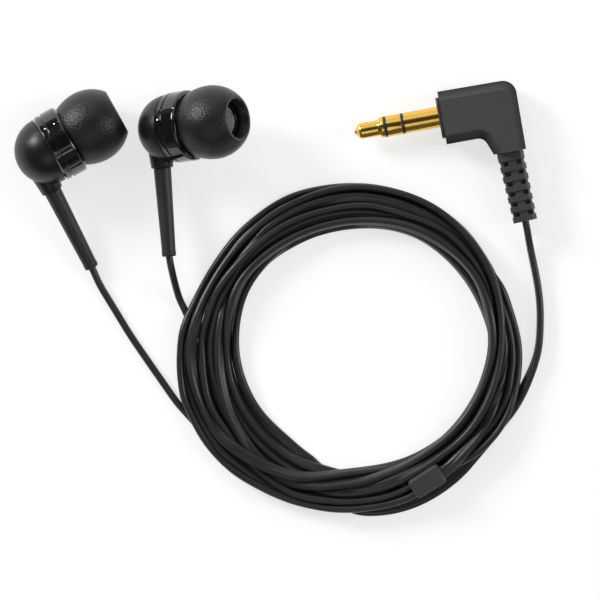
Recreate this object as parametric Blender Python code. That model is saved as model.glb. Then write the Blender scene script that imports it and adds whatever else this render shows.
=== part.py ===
# Wired in-ear earphones, lying flat with their cord in a loose round loop.
# Metres, +Z up. The origin is below the middle of the two earpieces, on the surface they lie on.
# Each earpiece is drawn on its own axis: z = 0 is the seam behind the trim ring, +z points out of
# the ear tip, and the stem leaves towards -y.

import math

import bmesh
import bpy
from mathutils import Matrix, Vector

MM = 0.001

# ---- clearances -------------------------------------------------------------------------------
PART_GAP = 0.3 * MM          # between pieces that meet or seat on each other
FINE_GAP = 0.12 * MM         # between the thin pieces of the driver and of the plug pin
SLIDE_GAP = 0.15 * MM        # between the nozzle barb and the sleeve that slides over it
SURFACE_GAP = 0.05 * MM      # between the surface and the pieces that lie on the cord
MERGE_GAP = 0.0005 * MM      # corners closer than this become one

# ---- earpiece shells --------------------------------------------------------------------------
DOME_RADIUS = 5.65 * MM      # matte rear shell, half a sphere
DOME_WALL = 0.8 * MM
TRIM_PROUD = 0.28 * MM       # the gloss trim ring stands this far out of the dome
TRIM_WALL = 0.65 * MM
TRIM_LENGTH = 4.05 * MM
TRIM_GROOVE_AT = 1.2 * MM    # from the rear end of the trim ring to the middle of its groove
TRIM_GROOVE_WIDTH = 0.3 * MM
TRIM_GROOVE_DEPTH = 0.2 * MM
TRIM_ROUND = 0.6 * MM        # rounded front edge
FRONT_WALL = 0.6 * MM

# ---- nozzle and ear tip -----------------------------------------------------------------------
NOZZLE_RADIUS = 2.75 * MM
NOZZLE_BORE = 1.95 * MM
NOZZLE_END = 11.1 * MM       # from the seam
NOZZLE_SLOPE = 0.62          # how steeply the front shell narrows to the nozzle
SHOULDER_ROUND = 0.42 * MM   # rounding between the front shell's side and that slope
BARB_HEIGHT = 0.15 * MM
BARB_LENGTH = 0.5 * MM
MESH_RADIUS = 2.2 * MM
MESH_THICKNESS = 0.2 * MM
TIP_RADIUS = 6.17 * MM       # widest place of the ear tip
TIP_WIDEST_AT = 8.0 * MM     # from the seam
TIP_LENGTH = 8.5 * MM
TIP_FRONT_CURVE = 6.4 * MM   # half length of the ellipse that shapes the front of the tip
TIP_REAR_CURVE = 7.03 * MM   # half length of the ellipse that shapes the skirt
TIP_WALL = 0.55 * MM
TIP_ROOT_DEPTH = 1.2 * MM    # solid silicone between the front rim and the hollow skirt
SLEEVE_WALL = 0.5 * MM
MOUTH_RADIUS = 3.2 * MM
MOUTH_RIM = 0.15 * MM        # rounding of the edges of the mouth

# ---- stem -------------------------------------------------------------------------------------
STEM_OFFSET = 2.6 * MM       # from the seam back to the axis of the stem
STEM_LEAN = 2.0              # degrees that the stem leans towards the dome
NECK_REACH = 6.2 * MM        # from the ear axis to the end of the neck
NECK_RADIUS = 1.75 * MM
NECK_FLARE = 0.3 * MM        # the neck is this much wider where it leaves the dome
NECK_ROOT = 2.4 * MM         # from the ear axis to where the neck starts, inside the dome
NECK_BORE = 1.15 * MM
BOOT_LENGTH = 14.65 * MM
BOOT_RADIUS = 1.46 * MM      # at the neck
BOOT_END_RADIUS = 1.18 * MM  # where the cord leaves
BOOT_ROUND = 0.2 * MM
SHANK_INSIDE = 2.6 * MM      # length of the boot's shank inside the neck
CRIMP_LENGTH = 1.6 * MM
CRIMP_RADIUS = 0.75 * MM
SOCKET_DEPTH = 0.9 * MM      # how far a cord goes into a boot, the relief or the splitter

# ---- driver -----------------------------------------------------------------------------------
FRAME_WALL = 0.3 * MM
FRAME_RIM = 1.1 * MM
FRAME_DEPTH = 2.6 * MM
FRAME_BASE = 0.4 * MM
FRAME_BASE_WIDTH = 0.5 * MM
CUP_WALL = 0.4 * MM
CUP_FLOOR = 0.5 * MM
COIL_AIR = 0.3 * MM          # air on either side of the voice coil
COIL_WALL = 0.3 * MM
COIL_HEIGHT = 1.4 * MM
MAGNET_HEIGHT = 1.0 * MM
POLE_HEIGHT = 0.5 * MM
POLE_OVERHANG = 0.15 * MM
FOIL = 0.18 * MM             # thickness of the diaphragm
FOIL_DOME = 0.5 * MM         # height of its middle dome
FOIL_ROLL = 0.28 * MM        # height of its outer roll
FOIL_AIR = 0.55 * MM         # from the pole plate up to the diaphragm
FOIL_BELOW_RIM = 0.8 * MM
BOARD_RADIUS = 2.4 * MM
BOARD_HOLE = 0.5 * MM
BOARD_THICKNESS = 0.4 * MM
DAMPER_THICKNESS = 0.15 * MM
DAMPER_WIDTH = 0.75 * MM

# ---- where the earpieces lie ------------------------------------------------------------------
LEFT_SEAM = (-13.95 * MM, 4.66 * MM)
LEFT_HEADING = 29.2          # degrees from +X
RIGHT_SEAM = (6.6 * MM, 8.3 * MM)
RIGHT_HEADING = 8.0
RIGHT_LIFT = 32.0            # degrees that the right ear tip points up
RIGHT_ROLL = -3.5            # degrees that its stem turns down about the ear axis

# ---- plug -------------------------------------------------------------------------------------
PIN_RADIUS = 1.75 * MM
PIN_LENGTH = 14.2 * MM       # from its point to the front flange
PIN_POINT_RADIUS = 0.35 * MM
PIN_CONE = 1.0 * MM
PIN_CONE_ROUND = 0.3 * MM    # the cone swells this much between its point and the waist
PIN_WAIST_RADIUS = 1.32 * MM
PIN_WAIST_END = 3.9 * MM     # from the point
PIN_FLARE = 0.65 * MM
FRONT_BAND_AT = 5.2 * MM     # middle of the first insulator, from the point
REAR_BAND_AT = 8.15 * MM
BAND_WIDTH = 0.45 * MM
PIN_CORE_RADIUS = 0.5 * MM
PIN_LAYER = 0.2 * MM         # wall of each tube that runs back along the pin
PIN_TAIL = 3.2 * MM          # length of the pin behind the flange
TAIL_STEP = 0.5 * MM         # each inner tube sticks out this far behind the next
SHOULDER_PROUD = 0.15 * MM   # collar that holds the pin in the inner mould
SHOULDER_LENGTH = 0.8 * MM
HOUSING_LENGTH = 13.0 * MM
HOUSING_UP = 4.2 * MM        # from the pin's axis to the outer side
HOUSING_DOWN = 4.75 * MM     # from the pin's axis to the inner side
HOUSING_THICKNESS = 6.0 * MM
HOUSING_LEG = 7.65 * MM      # from the pin's axis to the end of the leg
LEG_WIDTH = 5.4 * MM
LEG_SPREAD = 1.2 * MM        # the leg is this much wider at the bend
OUTER_CORNER = 2.3 * MM
HOUSING_TAPER = 0.2 * MM     # the outer sides close in this much towards their ends
SMALL_CORNER = 0.3 * MM
INNER_BEND = 1.6 * MM
HOUSING_CHAMFER = 1.5 * MM   # width of the slope around the flat faces
HOUSING_SIDE = 2.2 * MM      # height of the upright side wall
MOULD_LENGTH = 8.0 * MM
MOULD_WIDTH = 4.6 * MM
MOULD_THICKNESS = 4.1 * MM
MOULD_INSET = 1.2 * MM       # front wall of the housing
FLANGE_WIDTH = 6.4 * MM
FLANGE_HEIGHT = 4.6 * MM
FLANGE_THICKNESS = 0.42 * MM
FLANGE_CORNER = 1.6 * MM
PLUG_FACE = (51.43 * MM, 10.25 * MM)
PLUG_HEADING = 10.4          # degrees from +X to the pin's axis, from its point to the housing

# ---- strain relief of the plug ------------------------------------------------------------------
RELIEF_LENGTH = 11.6 * MM
RELIEF_WIDTH = 4.3 * MM      # at the housing
RELIEF_END_WIDTH = 3.9 * MM
RELIEF_THICKNESS = 3.6 * MM
RELIEF_CORNER = 0.8 * MM
RELIEF_TURN = 2.3            # degrees away from square to the pin
RELIEF_NOTCH = 0.12 * MM     # depth of the grooves between the ribs
WINDOW_ROWS = 6
WINDOW_FIRST = 1.65 * MM     # from the housing end to the first row of windows
WINDOW_PITCH = 1.72 * MM
WINDOW_HEIGHT = 0.7 * MM
WINDOW_WIDTH = 0.8 * MM
BRIDGE_WIDTH = 1.35 * MM     # solid strip between the two windows of a row

# ---- cord, loop and splitter --------------------------------------------------------------------
CORD_WIDTH = 2.0 * MM        # flat twin cord between the plug and the splitter
CORD_THICKNESS = 1.3 * MM
LEG_DIAMETER = 1.2 * MM      # single cords to the earpieces
LOOP_CENTRE = (36.13 * MM, -28.7 * MM)
LOOP_RADIUS = 28.35 * MM     # outer edge of the loop of cord
HOLE_CENTRE = (38.57 * MM, -28.08 * MM)
HOLE_RADIUS = 20.3 * MM      # inner edge of the loop
LOOP_HEIGHT = 4.0 * MM
LOOP_ROUND = 0.9 * MM
SPLITTER_CENTRE = (49.0 * MM, -50.5 * MM)
SPLITTER_HEADING = 32.0
SPLITTER_LENGTH = 5.9 * MM
SPLITTER_WIDTH = 3.5 * MM
SPLITTER_HEIGHT = 2.5 * MM
SPLITTER_CHAMFER = 0.45 * MM
SPLITTER_RISE = 1.9 * MM     # height of its underside above the surface
LEG_SPACING = 1.5 * MM       # between the two single cords at the splitter

# Routes of the free cords: x, y and height in millimetres, chosen by hand.
PLUG_ROUTE = ((66.0, -10.6, 1.9), (66.6, -13.6, 1.35), (67.3, -17.0, 1.06), (67.75, -20.3, 1.06),
              (67.87, -23.7, 1.06), (67.5, -28.8, 1.06), (66.4, -33.6, 1.06), (64.9, -37.4, 1.06),
              (62.9, -40.6, 1.06))
LEFT_ROUTE = ((-5.6, -17.7, 0.85), (-3.3, -21.5, 0.66), (-0.5, -26.1, 0.66), (1.6, -29.2, 0.66),
              (3.6, -32.1, 0.66), (5.5, -34.8, 0.66), (7.4, -37.5, 0.66), (9.5, -40.3, 0.66))
RIGHT_ROUTE = ((6.4, -14.9, 4.75), (6.75, -16.6, 3.85), (7.25, -18.5, 2.5), (7.9, -20.6, 1.25),
               (8.9, -23.2, 0.66))
ROUTE_SPACING = 2.4          # diameters between the points of a cord

ROUND_STEPS = 24
SMALL_STEPS = 16
TINY_STEPS = 10
LOOP_STEPS = 48
ROUTE_STEPS = 20             # fine steps between two points of a route


# ---- helpers ----------------------------------------------------------------------------------
def clear_scene():
    for item in list(bpy.data.objects):
        bpy.data.objects.remove(item, do_unlink=True)


def make_material(name, colour, roughness, metallic=0.0):
    material = bpy.data.materials.new(name)
    material.use_nodes = True
    shader = material.node_tree.nodes["Principled BSDF"]
    shader.inputs["Base Color"].default_value = (*colour, 1.0)
    shader.inputs["Roughness"].default_value = roughness
    shader.inputs["Metallic"].default_value = metallic
    return material


def make_mesh(name, bm):
    """Close a bmesh into a mesh with its faces pointing out and its round sides smooth."""
    bmesh.ops.remove_doubles(bm, verts=bm.verts, dist=MERGE_GAP)
    bmesh.ops.recalc_face_normals(bm, faces=bm.faces)
    mesh = bpy.data.meshes.new(name)
    bm.to_mesh(mesh)
    bm.free()
    mesh.shade_smooth()
    mesh.set_sharp_from_angle(angle=math.radians(35))
    return mesh


def place(name, mesh, material, parent, matrix=None):
    """Add a mesh as a named object on a parent's axes."""
    if not mesh.materials:
        mesh.materials.append(material)
    item = bpy.data.objects.new(name, mesh)
    bpy.context.scene.collection.objects.link(item)
    item.parent = parent
    if matrix is not None:
        item.matrix_local = matrix
    return item


def make_axes(name, matrix, parent=None):
    """Add an empty that carries the pieces of one assembly."""
    axes = bpy.data.objects.new(name, None)
    bpy.context.scene.collection.objects.link(axes)
    axes.parent = parent
    axes.matrix_local = matrix
    return axes


def combine(target, tool, operation="DIFFERENCE"):
    """Cut a guide object out of a target, or join it on, and hide the guide."""
    modifier = target.modifiers.new(tool.name, "BOOLEAN")
    modifier.operation = operation
    modifier.solver = "EXACT"
    modifier.object = tool
    tool.hide_render = True
    tool.display_type = "WIRE"


def turned(name, outline, steps=ROUND_STEPS):
    """Turn an outline of (radius, height) points about z. It is a closed loop, unless both of
    its ends lie on the axis."""
    bm = bmesh.new()
    points = [bm.verts.new((radius, 0.0, height)) for radius, height in outline]
    edges = [bm.edges.new(pair) for pair in zip(points, points[1:])]
    on_axis = outline[0][0] == 0.0 and outline[-1][0] == 0.0
    if not on_axis:
        edges.append(bm.edges.new((points[-1], points[0])))
    bmesh.ops.spin(bm, geom=points + edges, cent=(0, 0, 0), axis=(0, 0, 1), dvec=(0, 0, 0),
                   angle=2 * math.pi, steps=steps, use_merge=True)
    return make_mesh(name, bm)


def extruded(name, outline, low, high):
    """Extrude an outline of (x, y) points from one height to another."""
    bm = bmesh.new()
    face = bm.faces.new([bm.verts.new((x, y, low)) for x, y in outline])
    grown = bmesh.ops.extrude_face_region(bm, geom=[face])
    moved = [item for item in grown["geom"] if isinstance(item, bmesh.types.BMVert)]
    bmesh.ops.translate(bm, verts=moved, vec=(0, 0, high - low))
    return make_mesh(name, bm)


def lofted(name, sections, closed=False):
    """Join rings of points into a skin, with capped ends or closed into a hoop."""
    bm = bmesh.new()
    rings = [[bm.verts.new(point) for point in section] for section in sections]
    pairs = list(zip(rings, rings[1:]))
    if closed:
        pairs.append((rings[-1], rings[0]))
    for near, far in pairs:
        for index in range(len(near)):
            after = (index + 1) % len(near)
            bm.faces.new((near[index], near[after], far[after], far[index]))
    if not closed:
        bm.faces.new(rings[0])
        bm.faces.new(rings[-1])
    return make_mesh(name, bm)


def spread(start, end, steps):
    """Evenly spaced values from start to end, both included."""
    return [start + (end - start) * index / steps for index in range(steps + 1)]


def arc(centre_x, centre_y, radius, start, end, steps):
    """Points on an arc between two angles in degrees."""
    angles = [math.radians(angle) for angle in spread(start, end, steps)]
    return [(centre_x + radius * math.cos(angle), centre_y + radius * math.sin(angle))
            for angle in angles]


def rounded_outline(corners, steps=4):
    """Outline through (x, y, radius) corners, each rounded to its radius."""
    outline = []
    count = len(corners)
    for index, (x, y, radius) in enumerate(corners):
        corner = Vector((x, y))
        to_last = (Vector(corners[index - 1][:2]) - corner).normalized()
        to_next = (Vector(corners[(index + 1) % count][:2]) - corner).normalized()
        half = to_last.angle(to_next) / 2
        reach = radius / math.tan(half)
        centre = corner + (to_last + to_next).normalized() * (radius / math.sin(half))
        first = corner + to_last * reach - centre
        last = corner + to_next * reach - centre
        turn = first.angle_signed(last)
        for share in spread(0.0, 1.0, steps):
            point = centre + Matrix.Rotation(-turn * share, 2) @ first
            outline.append((point.x, point.y))
    return outline


def rounded_box(width, height, radius):
    """Rounded rectangle about the origin."""
    x = width / 2
    y = height / 2
    return rounded_outline([(-x, -y, radius), (x, -y, radius), (x, y, radius), (-x, y, radius)], 3)


def block(name, low, high):
    """Plain box between two corners."""
    outline = [(low[0], low[1]), (high[0], low[1]), (high[0], high[1]), (low[0], high[1])]
    return extruded(name, outline, low[2], high[2])


# ---- places that several pieces share ---------------------------------------------------------
TRIM_REAR = PART_GAP / 2
TRIM_FRONT = TRIM_REAR + TRIM_LENGTH
TRIM_RADIUS = DOME_RADIUS + TRIM_PROUD
TRIM_BORE = TRIM_RADIUS - TRIM_WALL
DOME_RIM = -PART_GAP / 2
DOME_INNER = DOME_RADIUS - DOME_WALL
FRONT_RADIUS = TRIM_BORE - PART_GAP
FRONT_BORE = FRONT_RADIUS - FRONT_WALL
SHOULDER_AT = TRIM_FRONT - FRONT_WALL        # front shell: end of its straight outer side
CAVITY_END = SHOULDER_AT - FRONT_WALL / 2    # end of its straight inner side
TIP_REAR = TRIM_FRONT + PART_GAP
TIP_FRONT = TIP_REAR + TIP_LENGTH
SLEEVE_BORE = NOZZLE_RADIUS + BARB_HEIGHT + SLIDE_GAP
NOZZLE_BASE = TIP_REAR + (FRONT_RADIUS - NOZZLE_RADIUS) * NOZZLE_SLOPE
SLEEVE_REAR = NOZZLE_BASE + PART_GAP
LIP_AT = NOZZLE_END + PART_GAP

DRIVER_RADIUS = FRONT_BORE - PART_GAP
FRAME_FRONT = CAVITY_END - PART_GAP
FRAME_BACK = FRAME_FRONT - FRAME_DEPTH
FRAME_INNER = DRIVER_RADIUS - FRAME_WALL
FOIL_RADIUS = FRAME_INNER - PART_GAP
CUP_RADIUS = DRIVER_RADIUS - FRAME_WALL - FRAME_BASE_WIDTH - FINE_GAP - PART_GAP
CUP_BORE = CUP_RADIUS - CUP_WALL
COIL_RADIUS = CUP_BORE - COIL_AIR
COIL_BORE = COIL_RADIUS - COIL_WALL
POLE_RADIUS = COIL_BORE - COIL_AIR
MAGNET_RADIUS = POLE_RADIUS - POLE_OVERHANG
FOIL_SEAT = FRAME_FRONT - FOIL_BELOW_RIM
POLE_TOP = FOIL_SEAT - FOIL_AIR
MAGNET_TOP = POLE_TOP - POLE_HEIGHT - FINE_GAP
CUP_INNER_FLOOR = MAGNET_TOP - MAGNET_HEIGHT - FINE_GAP
CUP_BACK = CUP_INNER_FLOOR - CUP_FLOOR
BOARD_FRONT = CUP_BACK - PART_GAP
BOOT_START = NECK_REACH + PART_GAP
BOOT_END = BOOT_START + BOOT_LENGTH
SHANK_RADIUS = NECK_BORE - PART_GAP
SHANK_START = NECK_REACH - SHANK_INSIDE
LEG_SOCKET = LEG_DIAMETER / 2 + SLIDE_GAP

PLUG_HEIGHT = HOUSING_THICKNESS / 2 + SURFACE_GAP
SHOULDER_RADIUS = PIN_RADIUS + SHOULDER_PROUD


# ---- earpiece pieces, each on the ear axis -------------------------------------------------------
def tip_radius_at(along):
    """Outer radius of the ear tip at a distance from the seam: two half ellipses."""
    span = TIP_FRONT_CURVE if along > TIP_WIDEST_AT else TIP_REAR_CURVE
    share = abs(along - TIP_WIDEST_AT) / span
    return TIP_RADIUS * math.sqrt(max(1.0 - share * share, 0.0))


def ear_tip_outline():
    """Silicone tip: skirt, crisp front rim, funnel mouth and the sleeve around the nozzle."""
    outer = [(tip_radius_at(along), along) for along in spread(TIP_REAR, TIP_FRONT - MOUTH_RIM, 8)]
    rim = [(tip_radius_at(TIP_FRONT) - MOUTH_RIM, TIP_FRONT), (MOUTH_RADIUS + MOUTH_RIM, TIP_FRONT)]
    sleeve_outer = SLEEVE_BORE + SLEEVE_WALL
    root = TIP_FRONT - TIP_ROOT_DEPTH
    inside = [(MOUTH_RADIUS, TIP_FRONT - MOUTH_RIM), (NOZZLE_RADIUS, LIP_AT + MOUTH_RIM),
              (SLEEVE_BORE, LIP_AT), (SLEEVE_BORE, SLEEVE_REAR), (sleeve_outer, SLEEVE_REAR),
              (sleeve_outer, root)]
    skirt = [(tip_radius_at(along) - TIP_WALL, along) for along in spread(root, TIP_REAR, 5)]
    return outer + rim + inside + skirt


def trim_ring_outline():
    """Gloss hoop with one groove and a rounded front edge."""
    edge = TRIM_PROUD / 2
    groove = TRIM_REAR + TRIM_GROOVE_AT
    half = TRIM_GROOVE_WIDTH / 2
    floor = TRIM_RADIUS - TRIM_GROOVE_DEPTH
    rear = [(TRIM_RADIUS - edge * 2, TRIM_REAR), (TRIM_RADIUS - edge / 2, TRIM_REAR + edge),
            (TRIM_RADIUS - edge / 2, groove - half), (floor, groove - half / 2),
            (floor, groove + half / 2), (TRIM_RADIUS, groove + half)]
    front = arc(TRIM_RADIUS - TRIM_ROUND, TRIM_FRONT - TRIM_ROUND, TRIM_ROUND, 0, 90, 3)
    return rear + front + [(TRIM_BORE, TRIM_FRONT), (TRIM_BORE, TRIM_REAR)]


def front_shell_outline():
    """Shell that holds the driver and narrows to the nozzle, with a seat for the mesh."""
    seat = MESH_RADIUS + PART_GAP
    ledge = NOZZLE_END - MESH_THICKNESS - PART_GAP
    barb_rear = ledge - BARB_LENGTH
    outside = [(FRONT_RADIUS, TRIM_REAR), (FRONT_RADIUS, SHOULDER_AT),
               (FRONT_RADIUS - SHOULDER_ROUND, TRIM_FRONT), (NOZZLE_RADIUS, NOZZLE_BASE),
               (NOZZLE_RADIUS, barb_rear), (NOZZLE_RADIUS + BARB_HEIGHT, barb_rear + BARB_HEIGHT),
               (NOZZLE_RADIUS + BARB_HEIGHT, ledge), (NOZZLE_RADIUS, NOZZLE_END)]
    inside = [(seat, NOZZLE_END), (seat, ledge), (NOZZLE_BORE, ledge),
              (NOZZLE_BORE, NOZZLE_BASE), (FRONT_BORE, CAVITY_END), (FRONT_BORE, TRIM_REAR)]
    return outside + inside


def nozzle_mesh_outline():
    front = NOZZLE_END - PART_GAP / 2
    return [(0.0, front - MESH_THICKNESS), (MESH_RADIUS, front - MESH_THICKNESS),
            (MESH_RADIUS, front), (0.0, front)]


def driver_frame_outline():
    """Basket: a rim around the diaphragm, a sloped wall and a base around the magnet cup."""
    base_bore = CUP_RADIUS + FINE_GAP
    base_edge = base_bore + FRAME_BASE_WIDTH
    rim_end = FRAME_FRONT - FRAME_RIM
    return [(DRIVER_RADIUS, FRAME_FRONT), (DRIVER_RADIUS, rim_end), (base_edge, FRAME_BACK),
            (base_bore, FRAME_BACK), (base_bore, FRAME_BACK + FRAME_BASE),
            (base_edge - FRAME_WALL, FRAME_BACK + FRAME_BASE), (FRAME_INNER, rim_end + FINE_GAP),
            (FRAME_INNER, FRAME_FRONT)]


def magnet_cup_outline():
    return [(0.0, CUP_BACK), (CUP_RADIUS, CUP_BACK), (CUP_RADIUS, POLE_TOP), (CUP_BORE, POLE_TOP),
            (CUP_BORE, CUP_INNER_FLOOR), (0.0, CUP_INNER_FLOOR)]


def disc_outline(radius, low, high):
    return [(0.0, low), (radius, low), (radius, high), (0.0, high)]


def washer_outline(bore, radius, low, high):
    return [(radius, low), (radius, high), (bore, high), (bore, low)]


def diaphragm_outline():
    """Thin foil: a dome inside the voice coil and one roll out to the edge."""
    roll_middle = (COIL_RADIUS + FOIL_RADIUS) / 2
    dome = [(COIL_BORE * math.sin(angle), FOIL_SEAT + FOIL_DOME * math.cos(angle))
            for angle in spread(0.0, math.pi / 2, 3)]
    under = [(0.0, dome[0][1])] + dome[1:-1] + [(COIL_BORE, FOIL_SEAT), (COIL_RADIUS, FOIL_SEAT),
                                                (roll_middle, FOIL_SEAT + FOIL_ROLL),
                                                (FOIL_RADIUS, FOIL_SEAT)]
    over = [(radius, height + FOIL) for radius, height in reversed(under)]
    return under + over


def stem_boot_outline():
    """Shank in the neck, then a slim taper that ends in a socket for the cord."""
    return [(0.0, SHANK_START), (SHANK_RADIUS, SHANK_START), (SHANK_RADIUS, BOOT_START),
            (BOOT_RADIUS, BOOT_START), (BOOT_END_RADIUS, BOOT_END - BOOT_ROUND),
            (BOOT_END_RADIUS - BOOT_ROUND, BOOT_END), (LEG_SOCKET, BOOT_END),
            (LEG_SOCKET, BOOT_END - SOCKET_DEPTH), (0.0, BOOT_END - SOCKET_DEPTH)]


def dome_outline(radius, reach):
    """Half ball behind the seam, closed by a flat face at a height."""
    ball = [(radius * math.sin(angle), DOME_RIM - radius * math.cos(angle))
            for angle in spread(0.0, math.pi / 2, 7)]
    if reach == DOME_RIM:
        return [(0.0, ball[0][1])] + ball[1:] + [(0.0, reach)]
    return [(0.0, ball[0][1])] + ball[1:] + [(radius, reach), (0.0, reach)]


def add_rear_shell(side, ear_axes, stem_axes, meshes, material):
    """Dome with its neck: a ball with the neck joined on, then hollowed and bored."""
    shell = place(side + "_rear_shell", meshes["dome"], material, ear_axes)
    neck = place(side + "_neck_form", meshes["neck"], material, stem_axes)
    hollow = place(side + "_hollow_form", meshes["hollow"], material, ear_axes)
    bore = place(side + "_bore_form", meshes["bore"], material, stem_axes)
    combine(shell, neck, "UNION")
    combine(shell, hollow)
    combine(shell, bore)


def make_ear_meshes():
    """Meshes that the two earpieces share."""
    coil_low = FOIL_SEAT - FINE_GAP - COIL_HEIGHT
    damper_bore = CUP_RADIUS + PART_GAP
    neck_outline = [(0.0, NECK_ROOT), (NECK_RADIUS + NECK_FLARE, NECK_ROOT),
                    (NECK_RADIUS, NECK_REACH - BOOT_ROUND),
                    (NECK_RADIUS - BOOT_ROUND, NECK_REACH), (0.0, NECK_REACH)]
    return {
        "dome": turned("dome", dome_outline(DOME_RADIUS, DOME_RIM)),
        "hollow": turned("hollow", dome_outline(DOME_INNER, DOME_RADIUS)),
        "neck": turned("neck", neck_outline, SMALL_STEPS),
        "bore": turned("bore", disc_outline(NECK_BORE, NECK_ROOT, BOOT_START), SMALL_STEPS),
        "trim_ring": turned("trim_ring", trim_ring_outline()),
        "front_shell": turned("front_shell", front_shell_outline()),
        "nozzle_mesh": turned("nozzle_mesh", nozzle_mesh_outline(), SMALL_STEPS),
        "ear_tip": turned("ear_tip", ear_tip_outline()),
        "driver_frame": turned("driver_frame", driver_frame_outline(), SMALL_STEPS),
        "magnet_cup": turned("magnet_cup", magnet_cup_outline(), SMALL_STEPS),
        "magnet": turned("magnet", disc_outline(MAGNET_RADIUS, MAGNET_TOP - MAGNET_HEIGHT,
                                                MAGNET_TOP), SMALL_STEPS),
        "pole_plate": turned("pole_plate", disc_outline(POLE_RADIUS, POLE_TOP - POLE_HEIGHT,
                                                        POLE_TOP), SMALL_STEPS),
        "voice_coil": turned("voice_coil", washer_outline(COIL_BORE, COIL_RADIUS, coil_low,
                                                          coil_low + COIL_HEIGHT), SMALL_STEPS),
        "diaphragm": turned("diaphragm", diaphragm_outline(), SMALL_STEPS),
        "terminal_board": turned("terminal_board",
                                 washer_outline(BOARD_HOLE, BOARD_RADIUS,
                                                BOARD_FRONT - BOARD_THICKNESS, BOARD_FRONT),
                                 SMALL_STEPS),
        "rear_damper": turned("rear_damper",
                              washer_outline(damper_bore, damper_bore + DAMPER_WIDTH,
                                             FRAME_BACK - PART_GAP - DAMPER_THICKNESS,
                                             FRAME_BACK - PART_GAP), SMALL_STEPS),
        "stem_boot": turned("stem_boot", stem_boot_outline(), SMALL_STEPS),
        "cord_crimp": turned("cord_crimp", disc_outline(CRIMP_RADIUS,
                                                        SHANK_START - PART_GAP - CRIMP_LENGTH,
                                                        SHANK_START - PART_GAP), TINY_STEPS),
    }


def ear_matrix(seam, height, heading, lift, roll):
    """Axes of an earpiece. The ear axis points along a heading and is lifted from the surface,
    and the stem is rolled about it, down towards the surface."""
    heading = math.radians(heading)
    lift = math.radians(lift)
    ahead = Vector((math.cos(lift) * math.cos(heading), math.cos(lift) * math.sin(heading),
                    math.sin(lift)))
    level = Vector((math.sin(heading), -math.cos(heading), 0.0))
    above = level.cross(ahead)
    stem = level * math.cos(roll) - above * math.sin(roll)
    back = -stem
    across = back.cross(ahead)
    matrix = Matrix((across, back, ahead)).transposed().to_4x4()
    matrix.translation = (seam[0], seam[1], height)
    return matrix


def stem_matrix():
    """Axes of the stem on its earpiece: z runs out along the stem."""
    lean = math.radians(STEM_LEAN)
    out = Vector((0.0, -math.cos(lean), -math.sin(lean)))
    across = Vector((1.0, 0.0, 0.0))
    matrix = Matrix((across, out.cross(across), out)).transposed().to_4x4()
    matrix.translation = (0.0, 0.0, -STEM_OFFSET)
    return matrix


def add_earpiece(side, matrix, meshes, materials):
    ear_axes = make_axes(side + "_ear_axis", matrix)
    stem_axes = make_axes(side + "_stem_axis", stem_matrix(), ear_axes)
    add_rear_shell(side, ear_axes, stem_axes, meshes, materials["shell"])
    finishes = {"trim_ring": "gloss", "front_shell": "gloss", "nozzle_mesh": "mesh",
                "ear_tip": "silicone", "driver_frame": "steel", "magnet_cup": "steel",
                "magnet": "magnet", "pole_plate": "steel", "voice_coil": "copper",
                "diaphragm": "film", "terminal_board": "board", "rear_damper": "paper"}
    for piece, finish in finishes.items():
        place(side + "_" + piece, meshes[piece], materials[finish], ear_axes)
    place(side + "_stem_boot", meshes["stem_boot"], materials["boot"], stem_axes)
    place(side + "_cord_crimp", meshes["cord_crimp"], materials["copper"], stem_axes)
    return stem_axes


# ---- plug ---------------------------------------------------------------------------------------
def add_pin(axes, materials):
    """Four-layer pin. Each layer is a tube around the last, with its ring of contact or of
    insulation at full width."""
    half = BAND_WIDTH / 2
    flange = PIN_LENGTH
    tail = flange + PIN_TAIL
    bores = [0.0]
    radii = [PIN_CORE_RADIUS]
    for _ in range(4):
        bores.append(radii[-1] + FINE_GAP)
        radii.append(bores[-1] + PIN_LAYER)
    starts = [0.0, FRONT_BAND_AT - half, FRONT_BAND_AT + half, REAR_BAND_AT - half,
              REAR_BAND_AT + half]
    seam = FINE_GAP / 4
    tip_end = starts[1] - seam
    flare_end = PIN_WAIST_END + PIN_FLARE
    cone_middle = (PIN_POINT_RADIUS + PIN_WAIST_RADIUS) / 2
    tip = [(0.0, 0.0), (PIN_POINT_RADIUS, 0.0), (cone_middle + PIN_CONE_ROUND, PIN_CONE / 2),
           (PIN_WAIST_RADIUS, PIN_CONE), (PIN_WAIST_RADIUS, PIN_WAIST_END),
           (PIN_RADIUS, flare_end), (PIN_RADIUS, tip_end), (radii[0], tip_end),
           (radii[0], tail), (0.0, tail)]
    place("plug_tip_contact", turned("plug_tip_contact", tip, SMALL_STEPS), materials["gold"], axes)
    layers = (("plug_front_insulator", 1, "insulator"), ("plug_ring_contact", 2, "gold"),
              ("plug_rear_insulator", 3, "insulator"))
    for name, layer, finish in layers:
        low = starts[layer] + seam
        high = starts[layer + 1] - seam
        end = tail - TAIL_STEP * layer
        outline = [(PIN_RADIUS, low), (PIN_RADIUS, high), (radii[layer], high),
                   (radii[layer], end), (bores[layer], end), (bores[layer], low)]
        place(name, turned(name, outline, SMALL_STEPS), materials[finish], axes)
    low = starts[4] + seam
    collar = flange + MOULD_INSET + PART_GAP * 2
    sleeve = [(PIN_RADIUS, low), (PIN_RADIUS, collar), (SHOULDER_RADIUS, collar),
              (SHOULDER_RADIUS, collar + SHOULDER_LENGTH), (bores[4], collar + SHOULDER_LENGTH),
              (bores[4], low)]
    place("plug_sleeve_contact", turned("plug_sleeve_contact", sleeve, SMALL_STEPS),
          materials["gold"], axes)


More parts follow.
